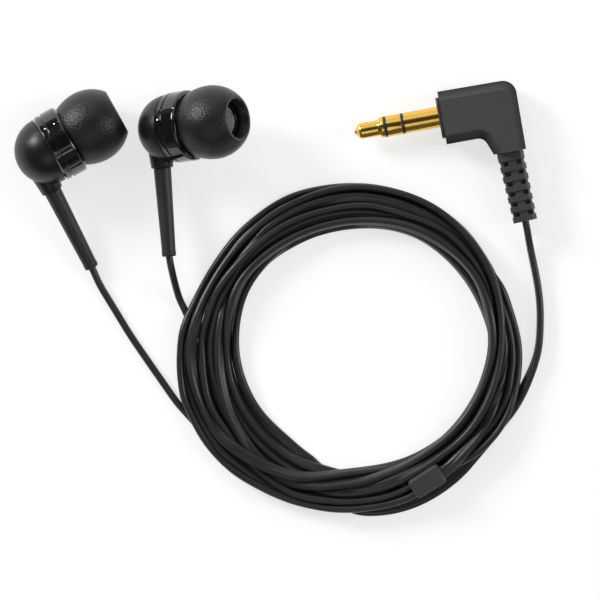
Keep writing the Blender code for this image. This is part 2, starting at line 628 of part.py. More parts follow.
def housing_corners():
    """L-shaped side view of the housing, longer than it is at the pin and at the leg's end."""
    spare = HOUSING_CHAMFER * 2
    leg_right = HOUSING_LENGTH - HOUSING_TAPER
    leg_left = leg_right - LEG_WIDTH
    bend_left = leg_left - LEG_SPREAD
    slope = LEG_SPREAD / (HOUSING_LEG - HOUSING_DOWN)
    end = -HOUSING_LEG - spare
    return [(-spare, -HOUSING_DOWN, SMALL_CORNER), (bend_left, -HOUSING_DOWN, INNER_BEND),
            (leg_left + slope * spare, end, SMALL_CORNER), (leg_right, end, SMALL_CORNER),
            (HOUSING_LENGTH, HOUSING_UP - HOUSING_TAPER, OUTER_CORNER),
            (-spare, HOUSING_UP, SMALL_CORNER)]


def housing_mesh():
    """Upright side wall with a slope up to the flat face and down to the flat underside."""
    bm = bmesh.new()
    side = HOUSING_SIDE / 2
    outline = rounded_outline(housing_corners(), 4)
    base = bm.faces.new([bm.verts.new((x, y, -side)) for x, y in outline])
    grown = bmesh.ops.extrude_face_region(bm, geom=[base], use_keep_orig=True)
    upper = [item for item in grown["geom"] if isinstance(item, bmesh.types.BMVert)]
    bmesh.ops.translate(bm, verts=upper, vec=(0, 0, HOUSING_SIDE))
    bmesh.ops.recalc_face_normals(bm, faces=bm.faces)
    for sign in (-1, 1):
        flat = [face for face in bm.faces if face.normal.z * sign > 0.9]
        bmesh.ops.inset_region(bm, faces=flat, thickness=HOUSING_CHAMFER, use_even_offset=True)
        rise = (HOUSING_THICKNESS / 2 - side) * sign
        corners = list({corner for face in flat for corner in face.verts})
        bmesh.ops.translate(bm, verts=corners, vec=(0, 0, rise))
    for point, normal in (((0, 0, 0), (-1, 0, 0)), ((0, -HOUSING_LEG, 0), (0, -1, 0))):
        everything = list(bm.verts) + list(bm.edges) + list(bm.faces)
        cut = bmesh.ops.bisect_plane(bm, geom=everything, plane_co=point, plane_no=normal,
                                     clear_outer=True)
        edges = [item for item in cut["geom_cut"] if isinstance(item, bmesh.types.BMEdge)]
        bmesh.ops.edgeloop_fill(bm, edges=edges)
    return make_mesh("plug_housing", bm)


def add_plug(materials):
    turn = Matrix.Rotation(math.radians(PLUG_HEADING), 4, "Z")
    axes = make_axes("plug_axis", Matrix.Translation((*PLUG_FACE, PLUG_HEIGHT)) @ turn)
    flange_front = -(FINE_GAP + FLANGE_THICKNESS)
    along = Matrix.Rotation(math.radians(90), 4, "Y")
    pin_start = Matrix.Translation((flange_front - PIN_LENGTH, 0, 0)) @ along
    pin_axes = make_axes("pin_axis", pin_start, axes)
    add_pin(pin_axes, materials)

    housing = place("plug_housing", housing_mesh(), materials["plug"], axes)
    hole = disc_outline(PIN_RADIUS + SLIDE_GAP, -HOUSING_LENGTH, HOUSING_LENGTH)
    hole_form = place("pin_hole_form", turned("pin_hole", hole, SMALL_STEPS), materials["plug"],
                      pin_axes, Matrix.Translation((0, 0, PIN_LENGTH + FLANGE_THICKNESS
                                                    + MOULD_INSET + PART_GAP - HOUSING_LENGTH)))
    room_low = (MOULD_INSET, -MOULD_WIDTH / 2 - PART_GAP, -MOULD_THICKNESS / 2 - PART_GAP)
    room_high = (MOULD_INSET + MOULD_LENGTH + PART_GAP * 2, MOULD_WIDTH / 2 + PART_GAP,
                 MOULD_THICKNESS / 2 + PART_GAP)
    room_form = place("mould_room_form", block("mould_room", room_low, room_high),
                      materials["plug"], axes)
    combine(housing, room_form)
    combine(housing, hole_form)

    mould_low = (MOULD_INSET + PART_GAP, -MOULD_WIDTH / 2, -MOULD_THICKNESS / 2)
    mould_high = (mould_low[0] + MOULD_LENGTH, MOULD_WIDTH / 2, MOULD_THICKNESS / 2)
    mould = place("plug_inner_mould", block("plug_inner_mould", mould_low, mould_high),
                  materials["mould"], axes)
    collar = PIN_LENGTH + MOULD_INSET + PART_GAP * 2
    depth = collar + SHOULDER_LENGTH + PART_GAP
    pocket = [(0.0, PIN_LENGTH), (SHOULDER_RADIUS + FINE_GAP, PIN_LENGTH),
              (SHOULDER_RADIUS + FINE_GAP, depth), (PIN_RADIUS, depth),
              (PIN_RADIUS, PIN_LENGTH + PIN_TAIL + PART_GAP),
              (0.0, PIN_LENGTH + PIN_TAIL + PART_GAP)]
    pocket_form = place("pin_pocket_form", turned("pin_pocket", pocket, SMALL_STEPS),
                        materials["mould"], pin_axes)
    combine(mould, pocket_form)

    plate = extruded("plug_front_flange", rounded_box(FLANGE_HEIGHT, FLANGE_WIDTH, FLANGE_CORNER),
                     PIN_LENGTH, PIN_LENGTH + FLANGE_THICKNESS)
    flange = place("plug_front_flange", plate, materials["plug"], pin_axes)
    combine(flange, hole_form)

    add_relief(axes, materials)


def add_relief(plug_axes, materials):
    """Ladder strain relief: a slim bar with ribs and two rows of windows beside its core."""
    down = Vector((math.sin(math.radians(RELIEF_TURN)), -math.cos(math.radians(RELIEF_TURN)), 0.0))
    flat = Vector((0.0, 0.0, 1.0))
    matrix = Matrix((flat.cross(down), flat, down)).transposed().to_4x4()
    leg_middle = HOUSING_LENGTH - HOUSING_TAPER - LEG_WIDTH / 2
    matrix.translation = (leg_middle, -HOUSING_LEG - PART_GAP, 0.0)
    relief_axes = make_axes("relief_axis", matrix, plug_axes)

    stations = [(0.0, 0.0)]
    for row in range(WINDOW_ROWS):
        middle = WINDOW_FIRST + WINDOW_PITCH * row
        near = middle - WINDOW_HEIGHT / 2
        far = middle + WINDOW_HEIGHT / 2
        stations += [(near, 0.0), (near, RELIEF_NOTCH), (far, RELIEF_NOTCH), (far, 0.0)]
    stations.append((RELIEF_LENGTH, 0.0))
    sections = []
    for along, notch in stations:
        share = along / RELIEF_LENGTH
        width = RELIEF_WIDTH + (RELIEF_END_WIDTH - RELIEF_WIDTH) * share - notch * 2
        outline = rounded_box(width, RELIEF_THICKNESS - notch * 2, RELIEF_CORNER)
        sections.append([(x, y, along) for x, y in outline])
    relief = place("plug_strain_relief", lofted("plug_strain_relief", sections),
                   materials["plug"], relief_axes)

    bm = bmesh.new()
    for row in range(WINDOW_ROWS):
        middle = WINDOW_FIRST + WINDOW_PITCH * row
        for side in (-1, 1):
            centre = (side * (BRIDGE_WIDTH + WINDOW_WIDTH) / 2, 0.0, middle)
            size = Matrix.Diagonal((WINDOW_WIDTH, RELIEF_THICKNESS * 2, WINDOW_HEIGHT, 1.0))
            bmesh.ops.create_cube(bm, size=1.0, matrix=Matrix.Translation(centre) @ size)
    windows = place("window_form", make_mesh("windows", bm), materials["plug"], relief_axes)
    socket = disc_outline(CORD_WIDTH / 2 + SLIDE_GAP, RELIEF_LENGTH - SOCKET_DEPTH,
                          RELIEF_LENGTH + SOCKET_DEPTH)
    socket_form = place("relief_socket_form", turned("relief_socket", socket, SMALL_STEPS),
                        materials["plug"], relief_axes)
    combine(relief, windows)
    combine(relief, socket_form)


# ---- cord, loop and splitter ----------------------------------------------------------------------
def smooth_curve(points):
    """Fine points on a smooth curve through the route's points."""
    padded = [points[0] * 2 - points[1]] + points + [points[-1] * 2 - points[-2]]
    fine = []
    for before, start, end, after in zip(padded, padded[1:], padded[2:], padded[3:]):
        for index in range(ROUTE_STEPS):
            share = index / ROUTE_STEPS
            fine.append(0.5 * (2 * start + (end - before) * share
                               + (2 * before - 5 * start + 4 * end - after) * share ** 2
                               + (3 * start - before - 3 * end + after) * share ** 3))
    fine.append(points[-1])
    return fine


def thinned(fine, spacing):
    """Points about one spacing apart, from the first to the last."""
    kept = [fine[0]]
    for point in fine[1:-1]:
        if (point - kept[-1]).length >= spacing:
            kept.append(point)
    if (fine[-1] - kept[-1]).length < spacing / 2:
        kept.pop()
    return kept + [fine[-1]]


def add_cord(name, start, towards, route, diameter, material):
    """Tube along a route that starts in a socket and ends just outside the loop."""
    lead = start + towards * diameter
    points = [start, lead] + [Vector(point) * MM for point in route]
    centre = Vector((*LOOP_CENTRE, 0.0))
    clear = LOOP_RADIUS + PART_GAP + diameter / 2
    outside = []
    for point in smooth_curve(points):
        if (Vector((point.x, point.y, 0.0)) - centre).length < clear:
            break
        outside.append(point)
    kept = thinned(outside, diameter * ROUTE_SPACING)
    curve = bpy.data.curves.new(name, "CURVE")
    curve.dimensions = "3D"
    curve.bevel_depth = diameter / 2
    curve.bevel_resolution = 2
    curve.use_fill_caps = True
    spline = curve.splines.new("POLY")
    spline.points.add(len(kept) - 1)
    for knot, point in zip(spline.points, kept):
        knot.co = (*point, 1.0)
    curve.materials.append(material)
    item = bpy.data.objects.new(name, curve)
    bpy.context.scene.collection.objects.link(item)


def cord_start(axes, along):
    """Point and direction on an axis at a distance from its origin, in world space."""
    matrix = axes.matrix_world
    return matrix @ Vector((0.0, 0.0, along)), (matrix.to_3x3() @ Vector((0, 0, 1))).normalized()


def loop_mesh():
    """Outer shape of the loop of cord: a ring that is wider on its left, with round edges."""
    shift = Vector(HOLE_CENTRE) - Vector(LOOP_CENTRE)
    low = SURFACE_GAP
    high = LOOP_HEIGHT
    sections = []
    for step in range(LOOP_STEPS):
        angle = 2 * math.pi * step / LOOP_STEPS
        ray = Vector((math.cos(angle), math.sin(angle)))
        across = shift.dot(ray)
        inner = across + math.sqrt(across ** 2 - shift.length_squared + HOLE_RADIUS ** 2)
        profile = [(inner, low + LOOP_ROUND), (inner + LOOP_ROUND, low),
                   (LOOP_RADIUS - LOOP_ROUND, low), (LOOP_RADIUS, low + LOOP_ROUND),
                   (LOOP_RADIUS, high - LOOP_ROUND), (LOOP_RADIUS - LOOP_ROUND, high),
                   (inner + LOOP_ROUND, high), (inner, high - LOOP_ROUND)]
        sections.append([(LOOP_CENTRE[0] + ray.x * radius, LOOP_CENTRE[1] + ray.y * radius, height)
                         for radius, height in profile])
    return lofted("cord_loop", sections, closed=True)


def splitter_mesh():
    """Small moulded block with sloped edges around its upper and lower faces."""
    half = SPLITTER_HEIGHT / 2
    wide = rounded_box(SPLITTER_LENGTH, SPLITTER_WIDTH, SPLITTER_CHAMFER)
    inner = rounded_box(SPLITTER_LENGTH - SPLITTER_CHAMFER * 2,
                        SPLITTER_WIDTH - SPLITTER_CHAMFER * 2, SPLITTER_CHAMFER / 2)
    levels = ((inner, -half), (wide, -half + SPLITTER_CHAMFER), (wide, half - SPLITTER_CHAMFER),
              (inner, half))
    return lofted("y_splitter", [[(x, y, height) for x, y in outline] for outline, height in levels])


def add_loop_and_splitter(materials):
    loop = place("cord_loop", loop_mesh(), materials["cord"], None)
    middle = SPLITTER_RISE + SPLITTER_HEIGHT / 2
    turn = Matrix.Rotation(math.radians(SPLITTER_HEADING), 4, "Z")
    axes = make_axes("splitter_axis", Matrix.Translation((*SPLITTER_CENTRE, middle)) @ turn)
    room = Vector((SPLITTER_LENGTH / 2, SPLITTER_WIDTH / 2, SPLITTER_HEIGHT / 2))
    room += Vector((PART_GAP, PART_GAP, PART_GAP))
    pocket = place("splitter_room_form", block("splitter_room", -room, room + Vector((0, 0, MM))),
                   materials["cord"], axes)
    combine(loop, pocket)

    splitter = place("y_splitter", splitter_mesh(), materials["splitter"], axes)
    end = SPLITTER_LENGTH / 2
    slot_half = Vector((CORD_WIDTH / 2 + SLIDE_GAP, CORD_THICKNESS / 2 + SLIDE_GAP))
    slot = place("twin_slot_form", block("twin_slot", (end - SOCKET_DEPTH, -slot_half.x, -slot_half.y),
                                         (end + SOCKET_DEPTH, slot_half.x, slot_half.y)),
                 materials["splitter"], axes)
    combine(splitter, slot)
    along = Matrix.Rotation(math.radians(-90), 4, "Y")
    hole = turned("leg_hole", disc_outline(LEG_SOCKET, end - SOCKET_DEPTH, end + SOCKET_DEPTH),
                  TINY_STEPS)
    for index, side in enumerate((-1, 1)):
        shift = Matrix.Translation((0.0, side * LEG_SPACING / 2, 0.0))
        form = place("leg_hole_form_" + str(index), hole, materials["splitter"], axes, shift @ along)
        combine(splitter, form)


def make_materials():
    return {
        "shell": make_material("matte black shell", (0.035, 0.035, 0.037), 0.55),
        "gloss": make_material("gloss black trim", (0.012, 0.012, 0.013), 0.08),
        "silicone": make_material("black silicone", (0.04, 0.04, 0.042), 0.6),
        "boot": make_material("soft black boot", (0.045, 0.045, 0.047), 0.55),
        "plug": make_material("moulded black plug", (0.07, 0.07, 0.072), 0.5),
        "splitter": make_material("moulded black splitter", (0.065, 0.065, 0.067), 0.5),
        "cord": make_material("black cord jacket", (0.06, 0.06, 0.062), 0.5),
        "gold": make_material("gold plated contact", (0.9, 0.62, 0.2), 0.18, 1.0),
        "insulator": make_material("black insulator", (0.03, 0.03, 0.03), 0.4),
        "mould": make_material("inner mould", (0.6, 0.58, 0.52), 0.5),
        "mesh": make_material("woven steel mesh", (0.6, 0.6, 0.6), 0.35, 1.0),
        "steel": make_material("plated steel", (0.55, 0.55, 0.56), 0.35, 1.0),
        "magnet": make_material("nickel plated magnet", (0.66, 0.66, 0.64), 0.25, 1.0),
        "copper": make_material("copper", (0.75, 0.35, 0.2), 0.35, 1.0),
        "film": make_material("clear film", (0.55, 0.5, 0.4), 0.25),
        "board": make_material("green board", (0.02, 0.16, 0.06), 0.45),
        "paper": make_material("damping paper", (0.7, 0.68, 0.62), 0.9),
    }


def build():
    clear_scene()
    materials = make_materials()
    meshes = make_ear_meshes()

    # The left earpiece lies on its ear tip, with the end of its stem on the surface.
    left_height = TIP_RADIUS
    left_roll = math.asin((left_height - BOOT_END_RADIUS) / BOOT_END)
    left_stem = add_earpiece("left", ear_matrix(LEFT_SEAM, left_height, LEFT_HEADING, 0.0, left_roll),
                             meshes, materials)
    # The right earpiece lies on its dome, with its ear tip up and its stem nearly level.
    right_height = DOME_RADIUS - DOME_RIM * math.sin(math.radians(RIGHT_LIFT))
    right_stem = add_earpiece("right", ear_matrix(RIGHT_SEAM, right_height, RIGHT_HEADING, RIGHT_LIFT,
                                                  math.radians(RIGHT_ROLL)), meshes, materials)
    add_plug(materials)
    add_loop_and_splitter(materials)
    bpy.context.view_layer.update()

    cord_in = BOOT_END - SOCKET_DEPTH + PART_GAP
    for name, axes, route in (("cord_left", left_stem, LEFT_ROUTE),
                              ("cord_right", right_stem, RIGHT_ROUTE)):
        start, towards = cord_start(axes, cord_in)
        add_cord(name, start, towards, route, LEG_DIAMETER, materials["cord"])
    relief_axes = bpy.data.objects["relief_axis"]
    start, towards = cord_start(relief_axes, RELIEF_LENGTH - SOCKET_DEPTH + PART_GAP)
    add_cord("cord_plug_end", start, towards, PLUG_ROUTE, CORD_WIDTH, materials["cord"])


build()
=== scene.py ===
import math

import bmesh
import bpy
import numpy as np
from mathutils import Matrix, Vector


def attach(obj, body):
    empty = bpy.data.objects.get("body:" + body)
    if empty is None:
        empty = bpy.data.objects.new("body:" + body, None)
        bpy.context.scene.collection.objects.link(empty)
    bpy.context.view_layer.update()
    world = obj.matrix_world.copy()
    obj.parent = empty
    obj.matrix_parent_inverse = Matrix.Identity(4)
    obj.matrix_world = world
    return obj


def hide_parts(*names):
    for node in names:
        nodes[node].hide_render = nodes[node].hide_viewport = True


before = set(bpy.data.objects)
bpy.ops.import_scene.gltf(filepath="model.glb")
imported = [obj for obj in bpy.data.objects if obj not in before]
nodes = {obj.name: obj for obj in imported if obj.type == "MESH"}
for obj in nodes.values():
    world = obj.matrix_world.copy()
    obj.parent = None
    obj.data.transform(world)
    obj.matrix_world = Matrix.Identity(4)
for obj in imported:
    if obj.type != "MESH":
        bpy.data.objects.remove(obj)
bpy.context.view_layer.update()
mm = 0.001
print("frame loaded:", len(nodes), "nodes")


def newObject(name, data):
    item = bpy.data.objects.new(name, data)
    bpy.context.scene.collection.objects.link(item)
    return item


# Camera straight above, from far away, so the view is nearly without perspective.
view = {
    "pixelsPerMm": 6.0,
    "originPixel": (133, 178),     # where the frame's origin lies in the 600 x 600 image
    "imagePixels": 600,
    "lens": 1500,
    "sensor": 36,
}


def addCamera():
    camera = newObject("camera", bpy.data.cameras.new("camera"))
    bpy.context.scene.camera = camera
    middle = view["imagePixels"] / 2
    reach = middle / view["pixelsPerMm"] * mm
    camera.data.lens = view["lens"]
    camera.data.sensor_width = view["sensor"]
    camera.data.clip_start = 0.01
    camera.location = ((middle - view["originPixel"][0]) / view["pixelsPerMm"] * mm,
                       (view["originPixel"][1] - middle) / view["pixelsPerMm"] * mm,
                       reach * view["lens"] * 2 / view["sensor"])


addCamera()


class Wire:
    # One output of a node. A sum or product of wires adds its Math node.
    def __init__(self, finish, socket):
        self.finish = finish
        self.socket = socket

    def maths(self, operation, *values):
        return self.finish.node("ShaderNodeMath", {"operation": operation}, dict(enumerate(values)))

    def __add__(self, other):
        return self.maths("ADD", self, other)

    def __sub__(self, other):
        return self.maths("SUBTRACT", self, other)

    def __rsub__(self, other):
        return self.maths("SUBTRACT", other, self)

    def __mul__(self, other):
        return self.maths("MULTIPLY", self, other)

    __radd__ = __add__
    __rmul__ = __mul__


class Nodes:
    # Adds nodes to a node tree.
    def __init__(self, tree):
        self.tree = tree

    def join(self, value, socket):
        if isinstance(value, Wire):
            self.tree.links.new(value.socket, socket)
        else:
            socket.default_value = value

    def node(self, kind, settings=None, inputs=None, output=0):
        made = self.tree.nodes.new(kind)
        for name, value in (settings or {}).items():
            if name == "stops":
                ramp = made.color_ramp
                while len(ramp.elements) < len(value):
                    ramp.elements.new(0.5)
                for element, (place, shade) in zip(ramp.elements, value):
                    element.position = place
                    element.color = (shade, shade, shade, 1.0)
            else:
                setattr(made, name, value)
        for name, value in (inputs or {}).items():
            self.join(value, made.inputs[name])
        return Wire(self, made.outputs[output])

    def ramp(self, value, *stops):
        return self.node("ShaderNodeValToRGB", {"stops": stops}, {"Fac": value})


class Finish(Nodes):
    # A Principled material. Constants go straight on its sockets.
    def __init__(self, name, colour, roughness, metallic=0.0, **constants):
        self.material = bpy.data.materials.new(name)
        self.material.use_nodes = True
        super().__init__(self.material.node_tree)
        self.shader = self.tree.nodes["Principled BSDF"]
        self.shader.inputs["Base Color"].default_value = (*colour, 1.0)
        self.shader.inputs["Roughness"].default_value = roughness
        self.shader.inputs["Metallic"].default_value = metallic
        for socket, value in constants.items():
            self.shader.inputs[socket.replace("_", " ")].default_value = value

    def place(self, stretch=(1, 1, 1)):
        spot = self.node("ShaderNodeTexCoord", output="Object")
        return self.node("ShaderNodeMapping", {}, {"Vector": spot, "Scale": stretch})

    def noise(self, size, detail=2.0, spot=None):
        # Soft noise from 0 to 1 with features of a size in metres.
        return self.node("ShaderNodeTexNoise", {},
                         {"Vector": spot or self.place(), "Scale": 1 / size, "Detail": detail})

    def grain(self, size):
        return self.node("ShaderNodeTexVoronoi", {}, {"Vector": self.place(), "Scale": 1 / size})

    def tint(self, share, *colours):
        # Mixes two colours, each a plain one or a wire.
        first, second = [item if isinstance(item, Wire) else (*item, 1.0) for item in colours]
        return self.node("ShaderNodeMix", {"data_type": "RGBA"}, {0: share, 6: first, 7: second}, output=2)

    def feed(self, socket, value):
        self.join(value, self.shader.inputs[socket])

    def bump(self, height, depth):
        self.feed("Normal", self.node("ShaderNodeBump", {}, {"Height": height, "Distance": depth}))


def black(shade):
    # A trace bluer than grey.
    return (shade, shade, shade + 0.001)


def moulded(name, dark, light, roughness, grainSize, grainDepth, **constants):
    # Moulded plastic or rubber: fine spark-eroded grain, faint cloudiness, rubbed patches.
    finish = Finish(name, light, roughness, **constants)
    cloud = finish.noise(2.5 * mm, 3)
    fine = finish.noise(grainSize, 2)
    finish.feed("Base Color", finish.tint(finish.ramp(cloud, (0.3, 0.0), (0.7, 1.0)), dark, light))
    finish.feed("Roughness", roughness - 0.08 + 0.16 * fine)
    finish.bump(fine + 0.5 * finish.grain(grainSize * 1.6), grainDepth)
    return finish.material


def makeHousing():
    # Painted light and shade: the flat top face is painted pale and the slopes and sides below it are
    # painted dark, chosen by height, for how light falls on them. The flat face is also rougher than the
    # slopes.
    finish = Finish("housingMoulding", black(0.09), 0.34, Specular_IOR_Level=0.1)
    cloud = finish.noise(2.5 * mm, 3)
    fine = finish.noise(0.12 * mm, 2)
    height = finish.node("ShaderNodeSeparateXYZ", {}, {"Vector": finish.place()}, output="Z")
    # Painted shade on the slopes and sides and painted light on the flat top face, switched by height.
    level = finish.ramp(height, (0.0057, 0.0), (0.0061, 1.0))
    shadedSlopes = finish.tint(cloud, black(0.017), black(0.022))
    litFlats = finish.tint(cloud, black(0.126), black(0.138))
    finish.feed("Base Color", finish.tint(level, shadedSlopes, litFlats))
    finish.feed("Roughness", 0.2 + 0.1 * fine + 0.14 * level)
    finish.bump(fine + 0.5 * finish.grain(0.19 * mm), 0.006 * mm)
    return finish.material


def makeSilicone():
    # Black silicone that glitters a little where the light catches its grain.
    finish = Finish("blackSilicone", black(0.013), 0.42, Specular_IOR_Level=0.42)
    cloud = finish.noise(3.0 * mm, 3)
    fine = finish.noise(0.16 * mm, 3)
    dots = finish.grain(0.3 * mm)
    finish.feed("Base Color", finish.tint(cloud, black(0.009), black(0.014)))
    finish.feed("Roughness", 0.26 + 0.16 * fine)
    finish.bump(dots + 0.5 * fine, 0.05 * mm)
    return finish.material


def makeGloss():
    # Polished black ring: nearly a mirror, with faint waves and hairline rubbing.
    finish = Finish("glossBlack", black(0.004), 0.05, Coat_Weight=0.6, Coat_Roughness=0.02)
    wave = finish.noise(1.6 * mm, 1)
    rub = finish.noise(0.25 * mm, 3)
    finish.feed("Roughness", 0.025 + 0.05 * finish.ramp(rub, (0.45, 0.0), (0.8, 1.0)))
    finish.feed("Base Color", finish.tint(wave, black(0.002), black(0.005)))
    finish.bump(wave, 0.02 * mm)
    return finish.material


def makeCord(light):
    # Soft jacket, drawn smooth: long faint streaks, fine grain and dull patches.
    finish = Finish("cordJacket", light, 0.42)
    cloud = finish.noise(4.0 * mm, 3)
    fine = finish.noise(0.12 * mm, 2)
    dark = tuple(0.8 * value for value in light)
    finish.feed("Base Color", finish.tint(cloud, dark, light))
    finish.feed("Roughness", 0.25 + 0.1 * cloud + 0.08 * fine)
    finish.bump(fine, 0.004 * mm)
    return finish.material


def makeMetal(name, dark, light, roughness, grainSize, depth, stretch=(1, 1, 1)):
    finish = Finish(name, light, roughness, 1.0)
    spot = finish.place(stretch)
    fine = finish.noise(grainSize, 3, spot)
    finish.feed("Base Color", finish.tint(finish.noise(1.5 * mm, 3), dark, light))
    finish.feed("Roughness", roughness - 0.06 + 0.12 * fine)
    finish.bump(fine, depth)
    return finish.material


materials = {
    "shell": moulded("matteShell", black(0.006), black(0.009), 0.34,
                     0.11 * mm, 0.006 * mm, Specular_IOR_Level=0.4),
    "silicone": makeSilicone(),
    "gloss": makeGloss(),
    "boot": moulded("bootRubber", black(0.013), black(0.019), 0.46, 0.13 * mm, 0.006 * mm),
    "plug": moulded("plugMoulding", black(0.052), black(0.062), 0.38, 0.12 * mm, 0.007 * mm),
    "housing": makeHousing(),
    "splitter": moulded("splitterMoulding", black(0.046), black(0.056), 0.38, 0.11 * mm, 0.006 * mm),
    "cord": makeCord(black(0.025)),
    "gold": makeMetal("goldPlate", (0.82, 0.5, 0.09), (0.87, 0.57, 0.13), 0.16, 0.3 * mm, 0.002 * mm),
    "insulator": moulded("insulatorPlastic", (0.02, 0.02, 0.02), (0.03, 0.03, 0.03), 0.4,
                         0.1 * mm, 0.004 * mm),
    "mesh": makeMetal("meshWire", (0.42, 0.42, 0.42), (0.6, 0.6, 0.59), 0.3, 0.05 * mm, 0.002 * mm),
    "steel": makeMetal("platedSteel", (0.45, 0.45, 0.46), (0.6, 0.6, 0.61), 0.33, 0.1 * mm, 0.003 * mm),
    "magnet": makeMetal("nickelPlate", (0.6, 0.59, 0.56), (0.7, 0.69, 0.66), 0.2, 0.2 * mm, 0.002 * mm),
    "copper": makeMetal("copperWire", (0.62, 0.26, 0.12), (0.8, 0.38, 0.2), 0.3, 0.06 * mm, 0.01 * mm,
                        (1, 1, 3)),
    "film": moulded("clearFilm", (0.5, 0.46, 0.36), (0.58, 0.53, 0.43), 0.2, 0.3 * mm, 0.002 * mm),
    "board": moulded("boardLacquer", (0.012, 0.11, 0.04), (0.03, 0.19, 0.08), 0.35, 0.2 * mm, 0.006 * mm),
    "paper": moulded("dampingPaper", (0.62, 0.6, 0.54), (0.76, 0.74, 0.68), 0.85, 0.08 * mm, 0.02 * mm),
    "mould": moulded("innerMould", (0.52, 0.5, 0.44), (0.62, 0.6, 0.54), 0.5, 0.15 * mm, 0.008 * mm),
}
print("materials:", len(materials))


def softened(corners, steps=5):
    # Outline through (x, y, radius) corners in mm, each rounded to its radius. Radius 0 stays sharp.
    outline = []
    for index, (x, y, radius) in enumerate(corners):
        corner = Vector((x, y))
        if radius == 0:
            outline.append((x, y))
            continue
        toLast = (Vector(corners[index - 1][:2]) - corner).normalized()
        toNext = (Vector(corners[(index + 1) % len(corners)][:2]) - corner).normalized()
        half = toLast.angle(toNext) / 2
        centre = corner + (toLast + toNext).normalized() * (radius / math.sin(half))
        first = corner + toLast * (radius / math.tan(half)) - centre
        last = corner + toNext * (radius / math.tan(half)) - centre
        turn = first.angle_signed(last)
        for step in range(steps + 1):
            spot = centre + Matrix.Rotation(-turn * step / steps, 2) @ first
            outline.append((spot.x, spot.y))
    return outline


def softBox(width, height, radius, steps=5):
    x = width / 2
    y = height / 2
    return softened([(-x, -y, radius), (x, -y, radius), (x, y, radius), (-x, y, radius)], steps)


def toMesh(bm):
    mesh = bpy.data.meshes.new("shape")
    bm.to_mesh(mesh)
    bm.free()
    return mesh


def finished(bm, matrix=Matrix()):
    # Closes a bmesh, points its faces out and puts it in its place.
    bmesh.ops.remove_doubles(bm, verts=bm.verts, dist=0.0005 * mm)
    bmesh.ops.recalc_face_normals(bm, faces=bm.faces)
    bm.transform(matrix)
    return toMesh(bm)


def spun(outline, steps=96):
    # A closed (radius, height) outline in mm, turned round z.
    bm = bmesh.new()
    verts = [bm.verts.new((radius * mm, 0, height * mm)) for radius, height in outline]
    edges = [bm.edges.new(pair) for pair in zip(verts, verts[1:] + verts[:1])]
    bmesh.ops.spin(bm, geom=verts + edges, cent=(0, 0, 0), axis=(0, 0, 1), dvec=(0, 0, 0),
                   angle=2 * math.pi, steps=steps, use_merge=True)
    return bm


def turned(outline, matrix=Matrix(), steps=96):
    return finished(spun(outline, steps), matrix)


def rod(radius, low, high, matrix=Matrix(), steps=96):
    return turned([(0, low), (radius, low), (radius, high), (0, high)], matrix, steps)


def slab(outline, low, high):
    # An (x, y) outline in mm, extruded between two heights.
    bm = bmesh.new()
    face = bm.faces.new([bm.verts.new((x * mm, y * mm, low * mm)) for x, y in outline])
    grown = bmesh.ops.extrude_face_region(bm, geom=[face])
    moved = [item for item in grown["geom"] if isinstance(item, bmesh.types.BMVert)]
    bmesh.ops.translate(bm, verts=moved, vec=(0, 0, (high - low) * mm))
    return bm


def addBlock(bm, centre, size):
    # Adds a box, given in mm.
    bmesh.ops.create_cube(bm, size=1, matrix=Matrix.Translation([value * mm for value in centre])
                          @ Matrix.Diagonal([value * mm for value in size] + [1]))


def sloped(bm, inset, rise):
    # Raises both flat faces of a slab, with a slope round each.
    bmesh.ops.recalc_face_normals(bm, faces=bm.faces)
    for sign in (-1, 1):
        flat = [face for face in bm.faces if face.normal.z * sign > 0.9]
        bmesh.ops.inset_region(bm, faces=flat, thickness=inset * mm, use_even_offset=True)
        bmesh.ops.translate(bm, verts=list({v for face in flat for v in face.verts}),
                            vec=(0, 0, rise * sign * mm))


def bevelled(bm, edges, width, segments):
    bmesh.ops.bevel(bm, geom=edges, offset=width * mm, offset_type="OFFSET", segments=segments,
                    profile=0.5, affect="EDGES", clamp_overlap=True, material=-1)


def rounded(bm, width, angle=30):
    # Bevels every edge that is sharper than an angle.
    bmesh.ops.remove_doubles(bm, verts=bm.verts, dist=0.0005 * mm)
    bmesh.ops.recalc_face_normals(bm, faces=bm.faces)
    edges = [edge for edge in bm.edges if edge.is_manifold
             and edge.calc_face_angle() > math.radians(angle)]
    bevelled(bm, edges, width, 3)
    return bm


def carved(mesh, cuts, joined=(), flatAngle=0.2):
    # Joins and cuts meshes with Booleans, and keeps the result as a plain mesh without the edges
    # that Booleans leave across plane faces.
    body = newObject("body", mesh)
    tools = []
    for operation, other in [("UNION", item) for item in joined] + [("DIFFERENCE", item) for item in cuts]:
        tools.append(newObject("tool", other))
        modifier = body.modifiers.new("step", "BOOLEAN")
        modifier.operation = operation
        modifier.solver = "EXACT"
        modifier.object = tools[-1]
    result = bpy.data.meshes.new_from_object(body.evaluated_get(bpy.context.evaluated_depsgraph_get()))
    for item in [body] + tools:
        bpy.data.objects.remove(item)
    bm = bmesh.new()
    bm.from_mesh(result)
    bmesh.ops.dissolve_limit(bm, angle_limit=math.radians(flatAngle), verts=bm.verts, edges=bm.edges)
    return toMesh(bm)


def addPiece(name, mesh, finish, node, body="root", smoothAngle=35, flatArea=1000):
    # Adds a finished mesh as a piece in place of a CAD node. Faces over flatArea mm2 stay flat.
    mesh.materials.clear()
    mesh.materials.append(materials[finish])
    mesh.shade_smooth()
    mesh.set_sharp_from_angle(angle=math.radians(smoothAngle))
    for face in mesh.polygons:
        face.use_smooth = face.area < flatArea * mm * mm
    piece = newObject(name, mesh)
    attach(piece, body)
    even = piece.modifiers.new("even", "WEIGHTED_NORMAL")
    even.keep_sharp = True
    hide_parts(node)
    return piece


